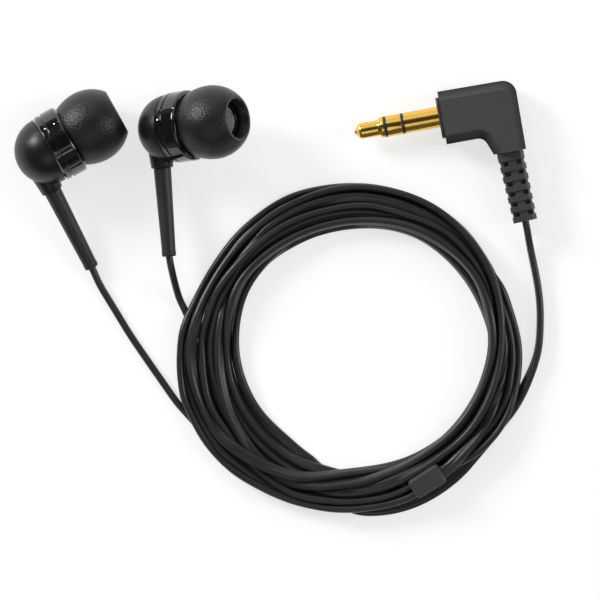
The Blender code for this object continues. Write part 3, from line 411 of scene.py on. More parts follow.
cord = {
    "width": 2.0,  # flat twin cord, across both of its cores
    "coreRadius": 0.62,
    "coreOffset": 0.35,  # from the middle of the cord to each core
    "grooveDepth": 0.09,  # between the cores
    "grooveWidth": 0.16,
    "squareness": 0.62,  # of the cores' section, where 1 is round
    "sectionPoints": 28,
    "legRadius": 0.6,  # single cords
    "loopCentre": (36.83, -28.67),
    "laneAngle": 30,  # between the points of twinTurns
    "inMould": 0.6,  # how far a cord goes into a boot or the relief
    "bootLead": 0.6,  # straight stretches out of the boots, relief and splitter
    "reliefLead": 1.0, "twinLead": 1.4, "legLead": 1.2,
    "freeRoll": 85,  # of the twin cord between the loop and the plug
    "curveSteps": 40,
    "step": 0.8,  # between the points of the settled cord
    "twistRounds": 24,  # fairing of the way the twin cord lies over
}

splitter = {
    "centre": (49.0, -50.5, 3.15), "heading": 32.0, "length": 5.9, "width": 3.5,
    "height": 2.5, "chamfer": 0.45, "corner": 0.65, "edge": 0.1,
    "twinSlot": (1.8, 2.1, 1.4), "legSpacing": 1.5, "legHole": 0.66, "legHoleDepth": 0.9,
    "socket": 0.6,  # how far a cord goes into the block
}

# Radius from the loop's centre, height of the middle of the cord (mm) and its roll in degrees
# (0 flat, 90 on edge), every 30 degrees anticlockwise from the +X side. The first turn leaves the
# splitter, and the last one goes over to plugLanes.
twinTurns = (
    ((25.4, 0.7, 20), (25.2, 0.7, 20), (25.9, 0.7, 10), (25.7, 0.7, 10), (24.9, 0.7, 10),
     (25.4, 0.7, 10), (27.9, 0.7, 10), (27.9, 0.7, 10), (26.4, 0.7, 10), (24.7, 0.7, 10),
     (24.6, 0.7, 10), (25.2, 0.7, 10)),
    ((24.6, 0.7, 10), (24.2, 0.7, 10), (23.9, 0.7, 10), (23.6, 0.7, 10), (23.4, 0.7, 10),
     (23.4, 0.7, 10), (22.8, 0.7, 10), (21.9, 0.7, 10), (22.2, 0.7, 10), (23.0, 0.7, 20),
     (22.9, 0.9, 70), (23.2, 0.9, 70)),
    ((25.0, 0.7, 10), (24.0, 0.7, 10), (23.4, 0.7, 10), (22.8, 0.7, 10), (22.7, 0.7, 10),
     (23.2, 0.7, 10), (22.4, 1.3, 40), (23.25, 2.8, 60), (24.58, 1.9, 70), (22.1, 2.8, 75),
     (21.0, 2.8, 80), (21.6, 2.8, 80)),
    ((23.05, 2.8, 80), (23.7, 2.6, 80), (22.75, 2.4, 60), (21.5, 2.4, 80), (21.3, 2.4, 80),
     (22.1, 2.6, 80), (21.3, 2.6, 70), (20.8, 2.3, 60), (20.72, 2.2, 60), (21.17, 1.0, 60),
     (23.9, 1.0, 60), (27.35, 2.2, 70)),
    ((27.4, 2.6, 80), (25.75, 1.6, 60), (25.33, 2.0, 45), (25.38, 2.7, 45), (24.8, 2.4, 60),
     (23.75, 1.2, 40), (24.1, 1.1, 20), (24.0, 0.8, 10), (23.6, 0.7, 10), (23.5, 0.8, 20),
     (22.58, 2.6, 70), (23.55, 3.0, 80)),
    ((24.42, 3.0, 80), (26.12, 3.0, 80), (27.13, 2.8, 80), (27.12, 2.6, 80), (26.12, 2.7, 70),
     (25.87, 2.8, 75), (27.17, 2.8, 55), (26.5, 3.0, 50), (23.67, 3.2, 50), (20.37, 2.6, 70),
     (20.9, 1.1, 40), (22.2, 0.9, 30)),
    ((23.5, 0.9, 40), (22.5, 1.0, 60), (21.95, 1.0, 80), (21.08, 1.0, 80), (20.83, 1.0, 80),
     (20.75, 1.6, 110), (19.83, 1.6, 115), (19.2, 1.2, 120), (19.3, 1.1, 115)),
)
# From its last turn the cord crosses to the outside, low down, and leaves for the plug: angle,
# radius, height and roll.
plugLanes = ((252, 20.3, 0.9, 80), (262, 24.0, 0.75, 40), (270, 26.4, 0.7, 10), (280, 27.05, 0.7, 5),
             (290, 27.25, 0.7, 5), (300, 27.15, 0.7, 5), (310, 26.9, 0.7, 5), (320, 26.55, 0.7, 10),
             (330, 26.9, 0.75, 15), (340, 28.1, 0.8, 30), (350, 29.35, 0.95, 60))

# The twin cord's first point after the splitter.
splitterLane = (330, 25.05, 2.6, 40)

# Angle, radius and height of the single cords round the loop.
leftLanes = ((203, 29.33, 0.65), (230, 27.6, 0.65), (245, 26.9, 0.65), (260, 26.4, 0.65),
             (275, 25.7, 1.0), (290, 25.5, 0.65), (310, 25.4, 0.65), (322, 25.6, 0.9), (332, 26.2, 1.7),
             (342, 26.75, 2.3), (350, 26.5, 2.3), (360, 26.3, 2.0), (380, 25.5, 2.0), (390, 25.83, 1.6),
             (410, 26.67, 0.9), (440, 27.17, 0.9), (468, 27.5, 1.9), (490, 27.23, 2.6),
             (510, 27.1, 2.9), (530, 28.22, 2.9), (540, 28.88, 2.9), (550, 29.25, 2.9),
             (560, 29.27, 2.9), (580, 28.42, 2.6), (600, 27.3, 2.2), (620, 26.75, 2.2),
             (638, 26.33, 2.6))
rightLanes = ((168, 28.33, 0.65), (174, 27.2, 0.65), (182, 26.1, 0.65), (190, 25.7, 0.65),
              (200, 25.3, 0.65), (220, 24.9, 0.65), (250, 24.4, 0.65), (300, 23.8, 0.65),
              (322, 23.95, 0.65), (345, 23.5, 1.5), (370, 23.5, 2.3), (390, 24.67, 2.3),
              (410, 24.97, 2.0), (430, 24.08, 2.2), (450, 24.05, 2.3), (480, 23.83, 2.3),
              (510, 24.42, 2.3), (530, 25.17, 2.2), (540, 25.33, 2.0), (565, 25.67, 1.6),
              (600, 26.0, 1.4), (622, 25.42, 2.4), (638, 25.17, 2.8))

# The free stretches repeat the solids' routes, in metres. The last points of the plug's route lie
# on the loop, where plugLanes takes over.
plugRoute = ((0.0660, -0.0106, 0.0019), (0.0666, -0.0136, 0.00135), (0.0673, -0.0170, 0.00106),
             (0.06775, -0.0203, 0.00106), (0.06787, -0.0237, 0.00106), (0.0675, -0.0288, 0.00106),
             (0.0664, -0.0336, 0.00106), (0.0649, -0.0374, 0.00106), (0.0629, -0.0406, 0.00106))
leftRoute = ((-0.0056, -0.0177, 0.00085), (-0.0033, -0.0215, 0.00066), (-0.0005, -0.0261, 0.00066),
             (0.0016, -0.0292, 0.00066), (0.0036, -0.0321, 0.00066), (0.0055, -0.0348, 0.00066),
             (0.0074, -0.0375, 0.00066))
rightRoute = ((0.0064, -0.0149, 0.00475), (0.00675, -0.0166, 0.00385), (0.00725, -0.0185, 0.0025),
              (0.0079, -0.0206, 0.00125))
freePoints = 6     # of plugRoute, before the loop
leftExit = (-0.006843, -0.014899, 0.001183)     # boot ends, with the direction of each stem
leftOut = (0.4433, -0.8648, -0.2358)
rightExit = (0.006056, -0.013082, 0.005055)
rightOut = (0.0775, -0.9964, 0.0332)
plugExit = (0.065349, -0.007062, 0.00305)
plugOut = (0.2198, -0.9755, 0.0)


def onLoop(angle, radius, height):
    turn = math.radians(angle)
    return (cord["loopCentre"][0] + radius * math.cos(turn),
            cord["loopCentre"][1] + radius * math.sin(turn), height)


def rolled(lanes):
    return [(*onLoop(*lane), roll) for *lane, roll in lanes]


def inMm(*route):
    return [tuple(value / mm for value in point) for point in route]


def leaving(exitPoint, direction, reaches):
    # Points on the straight line out of an exit, at distances in mm.
    start, = inMm(exitPoint)
    return [tuple(a + b * reach for a, b in zip(start, direction)) for reach in reaches]


def smoothed(points):
    # Evenly spaced points on a smooth curve through a route's points.
    points = [np.array(point, float) for point in points]
    padded = [points[0] * 2 - points[1]] + points + [points[-1] * 2 - points[-2]]
    fine = []
    for before, start, end, after in zip(padded, padded[1:], padded[2:], padded[3:]):
        for share in np.linspace(0, 1, cord["curveSteps"], endpoint=False):
            fine.append(0.5 * (2 * start + (end - before) * share
                               + (2 * before - 5 * start + 4 * end - after) * share ** 2
                               + (3 * start - before - 3 * end + after) * share ** 3))
    fine.append(points[-1])
    fine = np.array(fine)
    reach = np.concatenate([[0], np.cumsum(np.linalg.norm(np.diff(fine[:, :3], axis=0), axis=1))])
    spots = np.linspace(0, reach[-1], int(reach[-1] / cord["step"]) + 1)
    return np.stack([np.interp(spots, reach, column) for column in fine.T], axis=1)


def splitterSpot(forward, across):
    turn = math.radians(splitter["heading"])
    x, y, z = splitter["centre"]
    return (x + forward * math.cos(turn) - across * math.sin(turn),
            y + forward * math.sin(turn) + across * math.cos(turn), z)


def planTwin():
    # Points of the twin cord's route, each with its roll as a fourth value.
    end = splitter["length"] / 2
    points = [(*splitterSpot(end + reach, 0), 0) for reach in (-splitter["socket"], 0, cord["twinLead"])]
    points += rolled([splitterLane])
    for turn in twinTurns:
        points += rolled((index * cord["laneAngle"], *lane) for index, lane in enumerate(turn))
    points += rolled(plugLanes)
    points += [(*point, cord["freeRoll"]) for point in inMm(*plugRoute[:freePoints])[::-1]]
    straight = leaving(plugExit, plugOut, (cord["reliefLead"], -cord["inMould"]))
    return points + [(*point, 90) for point in straight]


def planLeg(exitPoint, direction, route, lanes, side):
    points = leaving(exitPoint, direction, (-cord["inMould"], cord["bootLead"]))
    points += inMm(*route)
    points += [onLoop(*lane) for lane in lanes]
    end = -splitter["length"] / 2
    offset = side * splitter["legSpacing"] / 2
    reaches = (cord["legLead"], 0, -splitter["socket"])
    return points + [splitterSpot(end - reach, offset) for reach in reaches]


def unit(line):
    return line / np.linalg.norm(line, axis=1)[:, None]


def sideways(line):
    # Level direction square to a line of points.
    ahead = np.gradient(line, axis=0)
    return unit(np.stack([ahead[:, 1], -ahead[:, 0], np.zeros(len(line))], axis=1))


settling = {
    "rounds": 300,
    "searchEvery": 10,  # rounds between searches for cords that lie close
    "searchBatch": 400,
    "nearby": 1.7,  # cords closer than this are tested against each other
    "neighbours": 8,  # points along one cord that aren't tested
    "heldPoints": 4,  # at both ends of a cord
    "squeeze": 0.01,  # how far the cores give
    "fall": 0.02,
    "pull": 0.12,  # share of the way back over the planned route
    "push": 0.35,  # share of an overlap that a round takes away
    "deepest": 0.3, "longestMove": 0.12, "fairing": 0.3, "besideSplitter": 0.3,
    "belowSplitter": 0.4,  # cords lower than this under its centre pass below it
}


def findNear(spots, owner, order):
    # Pairs of points that lie close, on two cords or well apart on one.
    found = []
    batch = settling["searchBatch"]
    for first in range(0, len(spots), batch):
        gap = spots[first:first + batch, None, :] - spots[None, :, :]
        a, b = np.nonzero((gap ** 2).sum(axis=2) < settling["nearby"] ** 2)
        a += first
        apart = abs(order[a] - order[b]) > settling["neighbours"]
        keep = (a < b) & ((owner[a] != owner[b]) | apart)
        found.append(np.stack([a[keep], b[keep]], axis=1))
    return np.concatenate(found)


def parting(spots, radius, near):
    # How each point moves away from the cords that it overlaps.
    a, b = near.T
    gap = spots[a] - spots[b]
    distance = np.linalg.norm(gap, axis=1) + 1e-9
    overlap = np.clip(radius[a] + radius[b] - distance, 0, settling["deepest"])
    move = gap * (settling["push"] * overlap / distance)[:, None]
    shift = np.stack([np.bincount(a, move[:, axis], len(spots))
                      - np.bincount(b, move[:, axis], len(spots)) for axis in range(3)], axis=1)
    return np.clip(shift, -settling["longestMove"], settling["longestMove"])


def pairCores(spots, size):
    # Keeps the twin cord's two cores side by side, without a sudden twist.
    middle = (spots[:size] + spots[size:2 * size]) / 2
    apart = spots[:size] - spots[size:2 * size]
    apart[1:-1] = (apart[:-2] + 2 * apart[1:-1] + apart[2:]) / 4
    apart *= cord["coreOffset"] / np.linalg.norm(apart, axis=1)[:, None]
    spots[:size] = middle + apart
    spots[size:2 * size] = middle - apart


def passSplitter(spots, radius, free):
    # Presses the cords below the splitter down, so that they clear it.
    turn = math.radians(splitter["heading"])
    x, y = (spots[:, :2] - np.array(splitter["centre"][:2])).T
    ahead = abs(x * math.cos(turn) + y * math.sin(turn))
    beside = abs(y * math.cos(turn) - x * math.sin(turn))
    under = (ahead < splitter["length"] / 2) & (free > 0)
    under &= beside < splitter["width"] / 2 + settling["besideSplitter"]
    under &= spots[:, 2] < splitter["centre"][2] - settling["belowSplitter"]
    ceiling = splitter["centre"][2] - splitter["height"] / 2 - radius
    spots[under, 2] = np.minimum(spots[under, 2], ceiling[under])


def settle(twin, legs, rolls):
    # Lets the planned cords settle on the surface and on each other: each round lets them fall a
    # little, parts those that overlap, keeps the twin cord's cores together and fairs the lines.
    up = np.array([0.0, 0.0, 1.0])
    lean = np.cos(rolls)[:, None] * sideways(twin) + np.sin(rolls)[:, None] * up
    strands = [twin + cord["coreOffset"] * lean, twin - cord["coreOffset"] * lean] + legs
    radii = [cord["coreRadius"] - settling["squeeze"]] * 2 + [cord["legRadius"]] * len(legs)
    sizes = [len(strand) for strand in strands]
    starts = np.concatenate([[0], np.cumsum(sizes)])
    spots = np.concatenate(strands)
    plan = spots.copy()
    radius = np.repeat(radii, sizes)
    owner = np.repeat([0, 0] + list(range(1, len(legs) + 1)), sizes)
    order = np.concatenate([np.arange(size) for size in sizes])
    held = settling["heldPoints"]
    free = np.ones(len(spots))
    for start, size in zip(starts, sizes):
        free[start:start + held] = 0
        free[start + size - held:start + size] = 0
    for count in range(settling["rounds"]):
        if count % settling["searchEvery"] == 0:
            near = findNear(spots, owner, order)
        spots[:, 2] -= settling["fall"] * (1 - count / settling["rounds"]) * free
        spots[:, :2] += settling["pull"] * (plan[:, :2] - spots[:, :2])
        spots += parting(spots, radius, near) * free[:, None]
        pairCores(spots, sizes[0])
        for start, size in zip(starts, sizes):
            drift = spots[start:start + size] - plan[start:start + size]
            bend = drift[:-2] + drift[2:] - 2 * drift[1:-1]
            drift[1:-1] += settling["fairing"] * bend * free[start + 1:start + size - 1, None]
            spots[start:start + size] = plan[start:start + size] + drift
        spots[:, 2] = np.where(free > 0, np.maximum(spots[:, 2], radius), spots[:, 2])
        passSplitter(spots, radius, free)
    a, b = near.T
    deep = radius[a] + radius[b] - np.linalg.norm(spots[a] - spots[b], axis=1)
    print("cord settled: deepest overlap %.2f mm, highest %.2f mm" % (deep.max(), spots[:, 2].max()))
    return [spots[start:start + size] for start, size in zip(starts, sizes)]


def faired(line, rounds=3):
    line = line.copy()
    for _ in range(rounds):
        line[1:-1] += 0.5 * ((line[:-2] + line[2:]) / 2 - line[1:-1])
    return line


def twinProfile():
    # Section of the twin cord: two round cores side by side with a soft groove between them.
    profile = bpy.data.curves.new("twinSection", "CURVE")
    profile.dimensions = "2D"
    spline = profile.splines.new("POLY")
    spline.points.add(cord["sectionPoints"] - 1)
    for index, knot in enumerate(spline.points):
        angle = 2 * math.pi * index / cord["sectionPoints"]
        x = (cord["coreOffset"] + cord["coreRadius"]) * math.cos(angle)
        dip = cord["grooveDepth"] * math.exp(-(x / cord["grooveWidth"]) ** 2)
        y = cord["coreRadius"] * abs(math.sin(angle)) ** cord["squareness"] - dip
        knot.co = (x * mm, y * math.copysign(1, math.sin(angle)) * mm, 0, 1)
    spline.use_cyclic_u = True
    item = newObject("twinSection", profile)
    item.hide_render = True
    item.location = (0, 0, -0.05)
    return item


def addCord(name, line, tilts=None, section=None):
    curve = bpy.data.curves.new(name, "CURVE")
    curve.dimensions = "3D"
    curve.twist_mode = "Z_UP"
    curve.use_fill_caps = True
    if section:
        curve.bevel_mode = "OBJECT"
        curve.bevel_object = section
    else:
        curve.bevel_depth = cord["legRadius"] * mm
        curve.bevel_resolution = 6
    spline = curve.splines.new("POLY")
    spline.points.add(len(line) - 1)
    spline.use_smooth = True
    for index, knot in enumerate(spline.points):
        knot.co = (*(line[index] * mm), 1)
        if tilts is not None:
            knot.tilt = tilts[index]
    curve.materials.append(materials["cord"])
    item = newObject(name, curve)
    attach(item, "root")
    return item


def lineLength(line):
    return float(np.linalg.norm(np.diff(line, axis=0), axis=1).sum())


def layCords():
    plan = smoothed(planTwin())
    legs = [smoothed(planLeg(leftExit, leftOut, leftRoute, leftLanes, -1)),
            smoothed(planLeg(rightExit, rightOut, rightRoute, rightLanes, 1))]
    settled = settle(plan[:, :3], legs, np.radians(plan[:, 3]))
    middle = faired((settled[0] + settled[1]) / 2)
    wide = faired(settled[0] - settled[1], cord["twistRounds"])
    ahead = unit(np.gradient(middle, axis=0))
    up = unit(np.array([0.0, 0.0, 1.0]) - ahead * ahead[:, 2:])
    across = np.cross(ahead, up)
    lean = np.arctan2(-(wide * up).sum(axis=1), (wide * across).sum(axis=1))
    tilts = np.unwrap(lean * 2) / 2
    lowest = cord["coreRadius"] + cord["coreOffset"] * abs(np.sin(tilts))
    middle[:, 2] = np.maximum(middle[:, 2], lowest)
    main = addCord("twinCord", middle, tilts, twinProfile())
    left = addCord("leftCord", faired(settled[2]))
    right = addCord("rightCord", faired(settled[3]))
    lengths = [lineLength(line) * mm for line in (middle, settled[2], settled[3])]
    print("cords laid: twin %.3f m, left %.3f m, right %.3f m" % tuple(lengths))
    return main, left, right, lengths


twinCord, leftCord, rightCord, cordLengths = layCords()


# Where each earpiece lies: the middle of the seam between dome and ring, and the directions of
# the tip and of the stem. Lengths along an earpiece run forwards from the seam.
earPlaces = {
    "left": {"seam": (-13.95, 4.66, 6.17), "ahead": (0.87292, 0.48786, 0.0),
             "stem": (0.4741, -0.8483, -0.2359)},
    "right": {"seam": (6.6, 8.3, 5.7295), "ahead": (0.83979, 0.11803, 0.52992),
              "stem": (0.1069, -0.9929, 0.0518)},
}
stem = {
    "behind": 2.6,  # from the seam back to the stem's line
    "lean": 2.0,
}


def earMatrix(side):
    # Earpiece axes: z out of the tip, the stem towards -y.
    place = earPlaces[side]
    ahead = Vector(place["ahead"]).normalized()
    down = Vector(place["stem"])
    back = -(down - ahead * down.dot(ahead)).normalized()
    matrix = Matrix((back.cross(ahead), back, ahead)).transposed().to_4x4()
    matrix.translation = Vector(place["seam"]) * mm
    return matrix


def stemMatrix():
    lean = math.radians(stem["lean"])
    out = Vector((0, -math.cos(lean), -math.sin(lean)))
    across = Vector((1, 0, 0))
    matrix = Matrix((across, out.cross(across), out)).transposed().to_4x4()
    matrix.translation = (0, 0, -stem["behind"] * mm)
    return matrix


dome = {
    "radius": 5.65, "wall": 0.8, "seamGap": 0.3, "edge": 0.06,
    "lipPlay": 0.06,  # between the lip and the ring that it goes into
    "lipEnd": 0.8, "lipBore": 5.04, "lipStep": 0.05,
    "neckRadius": 1.82, "neckFlare": 0.42, "neckEdge": 0.1, "neckBore": 1.15,
    "neckRoot": 2.4, "neckReach": 6.35,  # along the stem
    "spare": 1,  # how far the cuts run on past the ends
}


def ballOutline(radius, rim, steps=24):
    turns = [math.pi / 2 * step / steps for step in range(steps + 1)]
    return [(radius * math.sin(turn), rim - radius * math.cos(turn)) for turn in turns]


def addRearShell(side):
    rim = -dome["seamGap"] / 2
    radius, edge, end, spare = dome["radius"], dome["edge"], dome["lipEnd"], dome["spare"]
    inner = radius - dome["wall"]
    lip = ring["bore"] - dome["lipPlay"]
    shell = turned(ballOutline(radius, rim) + [(radius, 0), (radius - edge, edge), (lip, edge),
                                               (lip, end), (0, end)])
    root, reach, slim = dome["neckRoot"], dome["neckReach"], dome["neckRadius"]
    neck = turned(softened([(0, root, 0), (slim + dome["neckFlare"], root, 0),
                            (slim, reach, dome["neckEdge"]), (0, reach, 0)]), stemMatrix())
    hollow = turned(ballOutline(inner, rim) + [
        (inner, -dome["lipStep"]), (dome["lipBore"], -dome["lipStep"]),
        (dome["lipBore"], end + spare), (0, end + spare)])
    bore = rod(dome["neckBore"], root, reach + spare, stemMatrix(), 48)
    mesh = carved(shell, (hollow, bore), (neck,))
    mesh.transform(earMatrix(side))
    addPiece(side + "RearShell", mesh, "shell", side + "_rear_shell")


ring = {
    "radius": 5.93, "bore": 5.28, "length": 4.05, "edge": 0.05, "frontEdge": 0.62,
    "bevel": 0.32,  # towards the dome
    "bevelLength": 0.3, "bevelEdge": 0.15,
    "narrowDrop": (0.06, 0.04),  # the narrow band below the wide one, at its rear and front
    "groove": 1.2,  # place of the groove between the bands
    "grooveDepth": 0.24,
    "grooveTop": 0.13,  # half widths of the groove
    "grooveFloor": 0.07, "grooveEdges": (0.07, 0.09),
}


def addTrimRing(side):
    # Narrow band, groove and wide band, with a round front edge.
    radius, bore, edge, rear = ring["radius"], ring["bore"], ring["edge"], dome["seamGap"] / 2
    end = rear + ring["length"]
    groove = rear + ring["groove"]
    low = radius - ring["grooveDepth"]
    top, floor = ring["grooveTop"], ring["grooveFloor"]
    corners = [(bore, rear, edge), (radius - ring["bevel"], rear, edge),
               (radius - ring["narrowDrop"][0], rear + ring["bevelLength"], ring["bevelEdge"]),
               (radius - ring["narrowDrop"][1], groove - top, ring["grooveEdges"][0]),
               (low, groove - floor, edge), (low, groove + floor, edge),
               (radius, groove + top, ring["grooveEdges"][1]), (radius, end, ring["frontEdge"]),
               (bore, end, edge)]
    mesh = turned(softened(corners, 7), earMatrix(side), 144)
    addPiece(side + "TrimRing", mesh, "gloss", side + "_trim_ring", smoothAngle=60)


front = {
    "radius": 4.98, "wall": 0.6,
    "shoulder": 0.3,  # how far the ring's front is past the shoulder
    "shoulderEdge": 0.35, "roomEnd": 3.3, "nozzleRadius": 2.75, "nozzleRoot": 5.883,
    "nozzleEnd": 11.1, "barb": 0.15,
    "barbPlaces": (1.0, 0.85, 0.5),  # back from the nozzle's end: root, crest and fall
    "meshSeat": 2.5, "meshDepth": 0.5, "channel": 1.95, "edge": 0.05, "softEdge": 0.3,
}


def addFrontShell(side):
    rear, edge, soft = dome["seamGap"] / 2, front["edge"], front["softEdge"]
    shoulder = rear + ring["length"] - front["shoulder"]
    nozzle, root, end = front["nozzleRadius"], front["nozzleRoot"], front["nozzleEnd"]
    crest = nozzle + front["barb"]
    start, top, fall = [end - place for place in front["barbPlaces"]]
    seat, floor, room = front["meshSeat"], end - front["meshDepth"], front["radius"] - front["wall"]
    corners = [(front["radius"], rear, edge), (front["radius"], shoulder, front["shoulderEdge"]),
               (nozzle, root, soft), (nozzle, start, 0), (crest, top, edge), (crest, fall, 0.1),
               (nozzle, end, 0.06), (seat, end, edge), (seat, floor, 0.03),
               (front["channel"], floor, edge), (front["channel"], root, 0.2),
               (room, front["roomEnd"], soft), (room, rear, edge)]
    mesh = turned(softened(corners, 4), earMatrix(side))
    addPiece(side + "FrontShell", mesh, "gloss", side + "_front_shell")


tip = {
    "radius": 6.17, "widest": 8.0, "rear": 4.26, "front": 13.0,
    "frontCurve": 6.4,  # half lengths of the swelling, before and behind its widest
    "rearCurve": 7.03, "wall": 0.55, "hem": 0.15,
    "rim": 0.12,  # radius of the crisp front rim
    "rimInset": 0.05, "mouth": 3.38, "mouthEdge": 0.22,
    "funnel": (2.75, 11.5),  # radius and place of the funnel's end
    "sleeve": (3.05, 3.55),  # bore and radius
    "sleeveEnds": (6.2, 11.4), "sleeveEdge": 0.1, "softEdge": 0.3,
    "web": 1.3,  # from the front back to where sleeve and skirt part
}


def tipRadiusAt(place):
    curve = tip["frontCurve"] if place > tip["widest"] else tip["rearCurve"]
    return tip["radius"] * math.sqrt(max(1 - ((place - tip["widest"]) / curve) ** 2, 0))


def skirt(start, end, steps, inset=0.0):
    places = [start + (end - start) * step / steps for step in range(steps + 1)]
    return [(tipRadiusAt(place) - inset, place) for place in places]


def addEarTip(side):
    # Skirt, crisp front rim, funnel mouth and the sleeve on the nozzle, as one silicone moulding.
    rear, end, rim, edge = tip["rear"], tip["front"], tip["rim"], tip["sleeveEdge"]
    bore, sleeve = tip["sleeve"]
    low, high = tip["sleeveEnds"]
    web = end - tip["web"]
    outer = skirt(rear, end - rim, 40)
    mouth = softened([(*outer[-1], 0), (tipRadiusAt(end) - tip["rimInset"], end, rim),
                      (tip["mouth"], end, tip["mouthEdge"]), (*tip["funnel"], tip["softEdge"]),
                      (bore, high, 0), (bore, low, edge), (sleeve, low, edge),
                      (sleeve, web, tip["softEdge"])])[1:]
    inside = skirt(web, rear, 16, tip["wall"])[1:]
    hem = [(inside[-1][0] + tip["hem"], rear)]
    mesh = turned(outer + mouth + inside + hem, earMatrix(side), 128)
    addPiece(side + "EarTip", mesh, "silicone", side + "_ear_tip", side + "_ear_tip")


weave = {
    "radius": 2.2,
    "behind": 0.27,  # from the nozzle's end back to the mesh
    "pitch": 0.27, "wire": 0.05,
    "overlap": 0.95,  # share of a wire's radius that it swings up and down
    "rimWidth": 0.12, "rimHeight": 0.08, "rimEdge": 0.03,
}


def weaveWire(reach, phase):
    # One wire of the mesh along x, waving over and under the wires that cross it.
    pitch, wire = weave["pitch"], weave["wire"]
    bm = bmesh.new()
    verts = bmesh.ops.create_circle(bm, segments=6, radius=wire * mm, cap_ends=True,
                                    matrix=Matrix.Rotation(math.radians(90), 4, "Y"))["verts"]
    steps = int(reach * 2 / pitch * 4)
    places = [-reach + 2 * reach * step / steps for step in range(steps + 1)]
    lifts = [math.cos(math.pi * place / pitch + phase) * wire * weave["overlap"] for place in places]
    bmesh.ops.translate(bm, verts=verts, vec=(places[0] * mm, 0, lifts[0] * mm))
    face = next(iter(bm.faces))
    for step in range(1, steps + 1):
        grown = bmesh.ops.extrude_face_region(bm, geom=[face], use_keep_orig=step == 1)["geom"]
        face = next(item for item in grown if isinstance(item, bmesh.types.BMFace))
        bmesh.ops.translate(bm, verts=face.verts, vec=((places[step] - places[step - 1]) * mm, 0,
                                                       (lifts[step] - lifts[step - 1]) * mm))
    return bm


def addNozzleMesh(side):
    # Plain weave in a thin rim.
    radius, pitch = weave["radius"], weave["pitch"]
    height = front["nozzleEnd"] - weave["behind"]
    inner, low, high = radius - weave["rimWidth"], height - weave["rimHeight"], height + weave["rimHeight"]
    rim = [(inner, low), (radius, low), (radius, high), (inner, high)]
    bm = spun(softened([(*corner, weave["rimEdge"]) for corner in rim], 2), 64)
    count = int(radius / pitch)
    for turn in (0, 1):
        for index in range(-count, count + 1):
            wireEnd = radius - weave["rimWidth"] / 2
            reach = math.sqrt(max(wireEnd ** 2 - (index * pitch) ** 2, 0))
            if reach < pitch:
                continue
            wire = weaveWire(reach, math.pi * (index + turn))
            wire.transform(Matrix.Rotation(math.radians(90 * turn), 4, "Z")
                           @ Matrix.Translation((0, index * pitch * mm, height * mm)))
            strand = toMesh(wire)
            bm.from_mesh(strand)
            bpy.data.meshes.remove(strand)
    mesh = finished(bm, earMatrix(side))
    addPiece(side + "NozzleMesh", mesh, "mesh", side + "_nozzle_mesh", smoothAngle=60)


boot = {
    "radius": 1.46, "endRadius": 1.18, "start": 6.38, "end": 21.15, "shoulderEdge": 0.12,
    "lip": 0.02,
    "lipPlaces": (1.0, 0.8),  # back from the end
    "lipEdge": 0.1, "endEdge": 0.22,
    "spigot": (0.85, 3.6),  # radius and end of the part in the neck
    "mouth": (0.72, 0.9),  # radius and depth where the cord goes in
    "mouthEdge": 0.06,
}


def addBoot(side):
    # Slim tapered stem with a soft lip where the cord leaves.
    start, end, slim, lip = boot["start"], boot["end"], boot["endRadius"], boot["lip"]
    spigot, root = boot["spigot"]
    mouth, depth = boot["mouth"]
    edge = boot["lipEdge"]
    corners = [(0, root, 0), (spigot, root, edge), (spigot, start, 0),
               (boot["radius"], start, boot["shoulderEdge"]), (slim - lip, end - boot["lipPlaces"][0], 0),
               (slim + lip, end - boot["lipPlaces"][1], edge), (slim, end, boot["endEdge"]),
               (mouth, end, boot["mouthEdge"]), (mouth, end - depth, 0), (0, end - depth, 0)]
    mesh = turned(softened(corners), earMatrix(side) @ stemMatrix(), 72)
    addPiece(side + "Boot", mesh, "boot", side + "_stem_boot")


for earSide in ("left", "right"):
    addRearShell(earSide)
    addTrimRing(earSide)
    addFrontShell(earSide)
    addEarTip(earSide)
    addNozzleMesh(earSide)
    addBoot(earSide)
    print(earSide, "earpiece")


plug = {
    "face": (51.43, 10.25, 3.05),  # where the pin's axis meets the housing's front
    "heading": 10.4,
    "gap": 0.12,  # between housing and flange
}
pin = {
    "radius": 1.75, "length": 14.2,
    "tail": 3.2,  # behind the flange
    "edge": 0.02,
    # Radius, distance from the end and edge of each corner of the point and the waist.
    "point": ((0, 0, 0), (0.3, 0, 0.12), (0.62, 0.35, 0.1), (1.2, 0.78, 0.15), (1.32, 1.15, 0.2),
              (1.32, 3.9, 0.25), (1.75, 4.55, 0.2)),
    "pointEnd": 4.945, "core": 0.5, "coreEdge": 0.1, "tubeEdge": 0.03,
    "sleeve": 8.405,  # from the end of the pin to its last contact
    "sleeveBore": 1.58,
    "collar": 1.8,  # from the flange back
    "collarLength": 0.8, "collarRise": 0.15, "collarEdge": 0.04,
}
# Start and end on the pin, bore and radius of the tube that runs back from it, how far the tube
# stops short of the tail's end, and the rise over the pin.
pinRings = (
    ("plugFrontBand", "plug_front_insulator", "insulator", 4.96, 5.44, 0.62, 0.82, 0.5, -0.02),
    ("plugRing", "plug_ring_contact", "gold", 5.455, 7.895, 0.94, 1.14, 1.0, 0),
    ("plugRearBand", "plug_rear_insulator", "insulator", 7.91, 8.39, 1.26, 1.46, 1.5, -0.02),
)
turnToX = Matrix.Rotation(math.radians(90), 4, "Y")


def plugMatrix():
    turn = Matrix.Rotation(math.radians(plug["heading"]), 4, "Z")
    return Matrix.Translation(Vector(plug["face"]) * mm) @ turn


def pinMatrix():
    start = -(plug["gap"] + flange["thickness"] + pin["length"])
    return plugMatrix() @ Matrix.Translation((start * mm, 0, 0)) @ turnToX


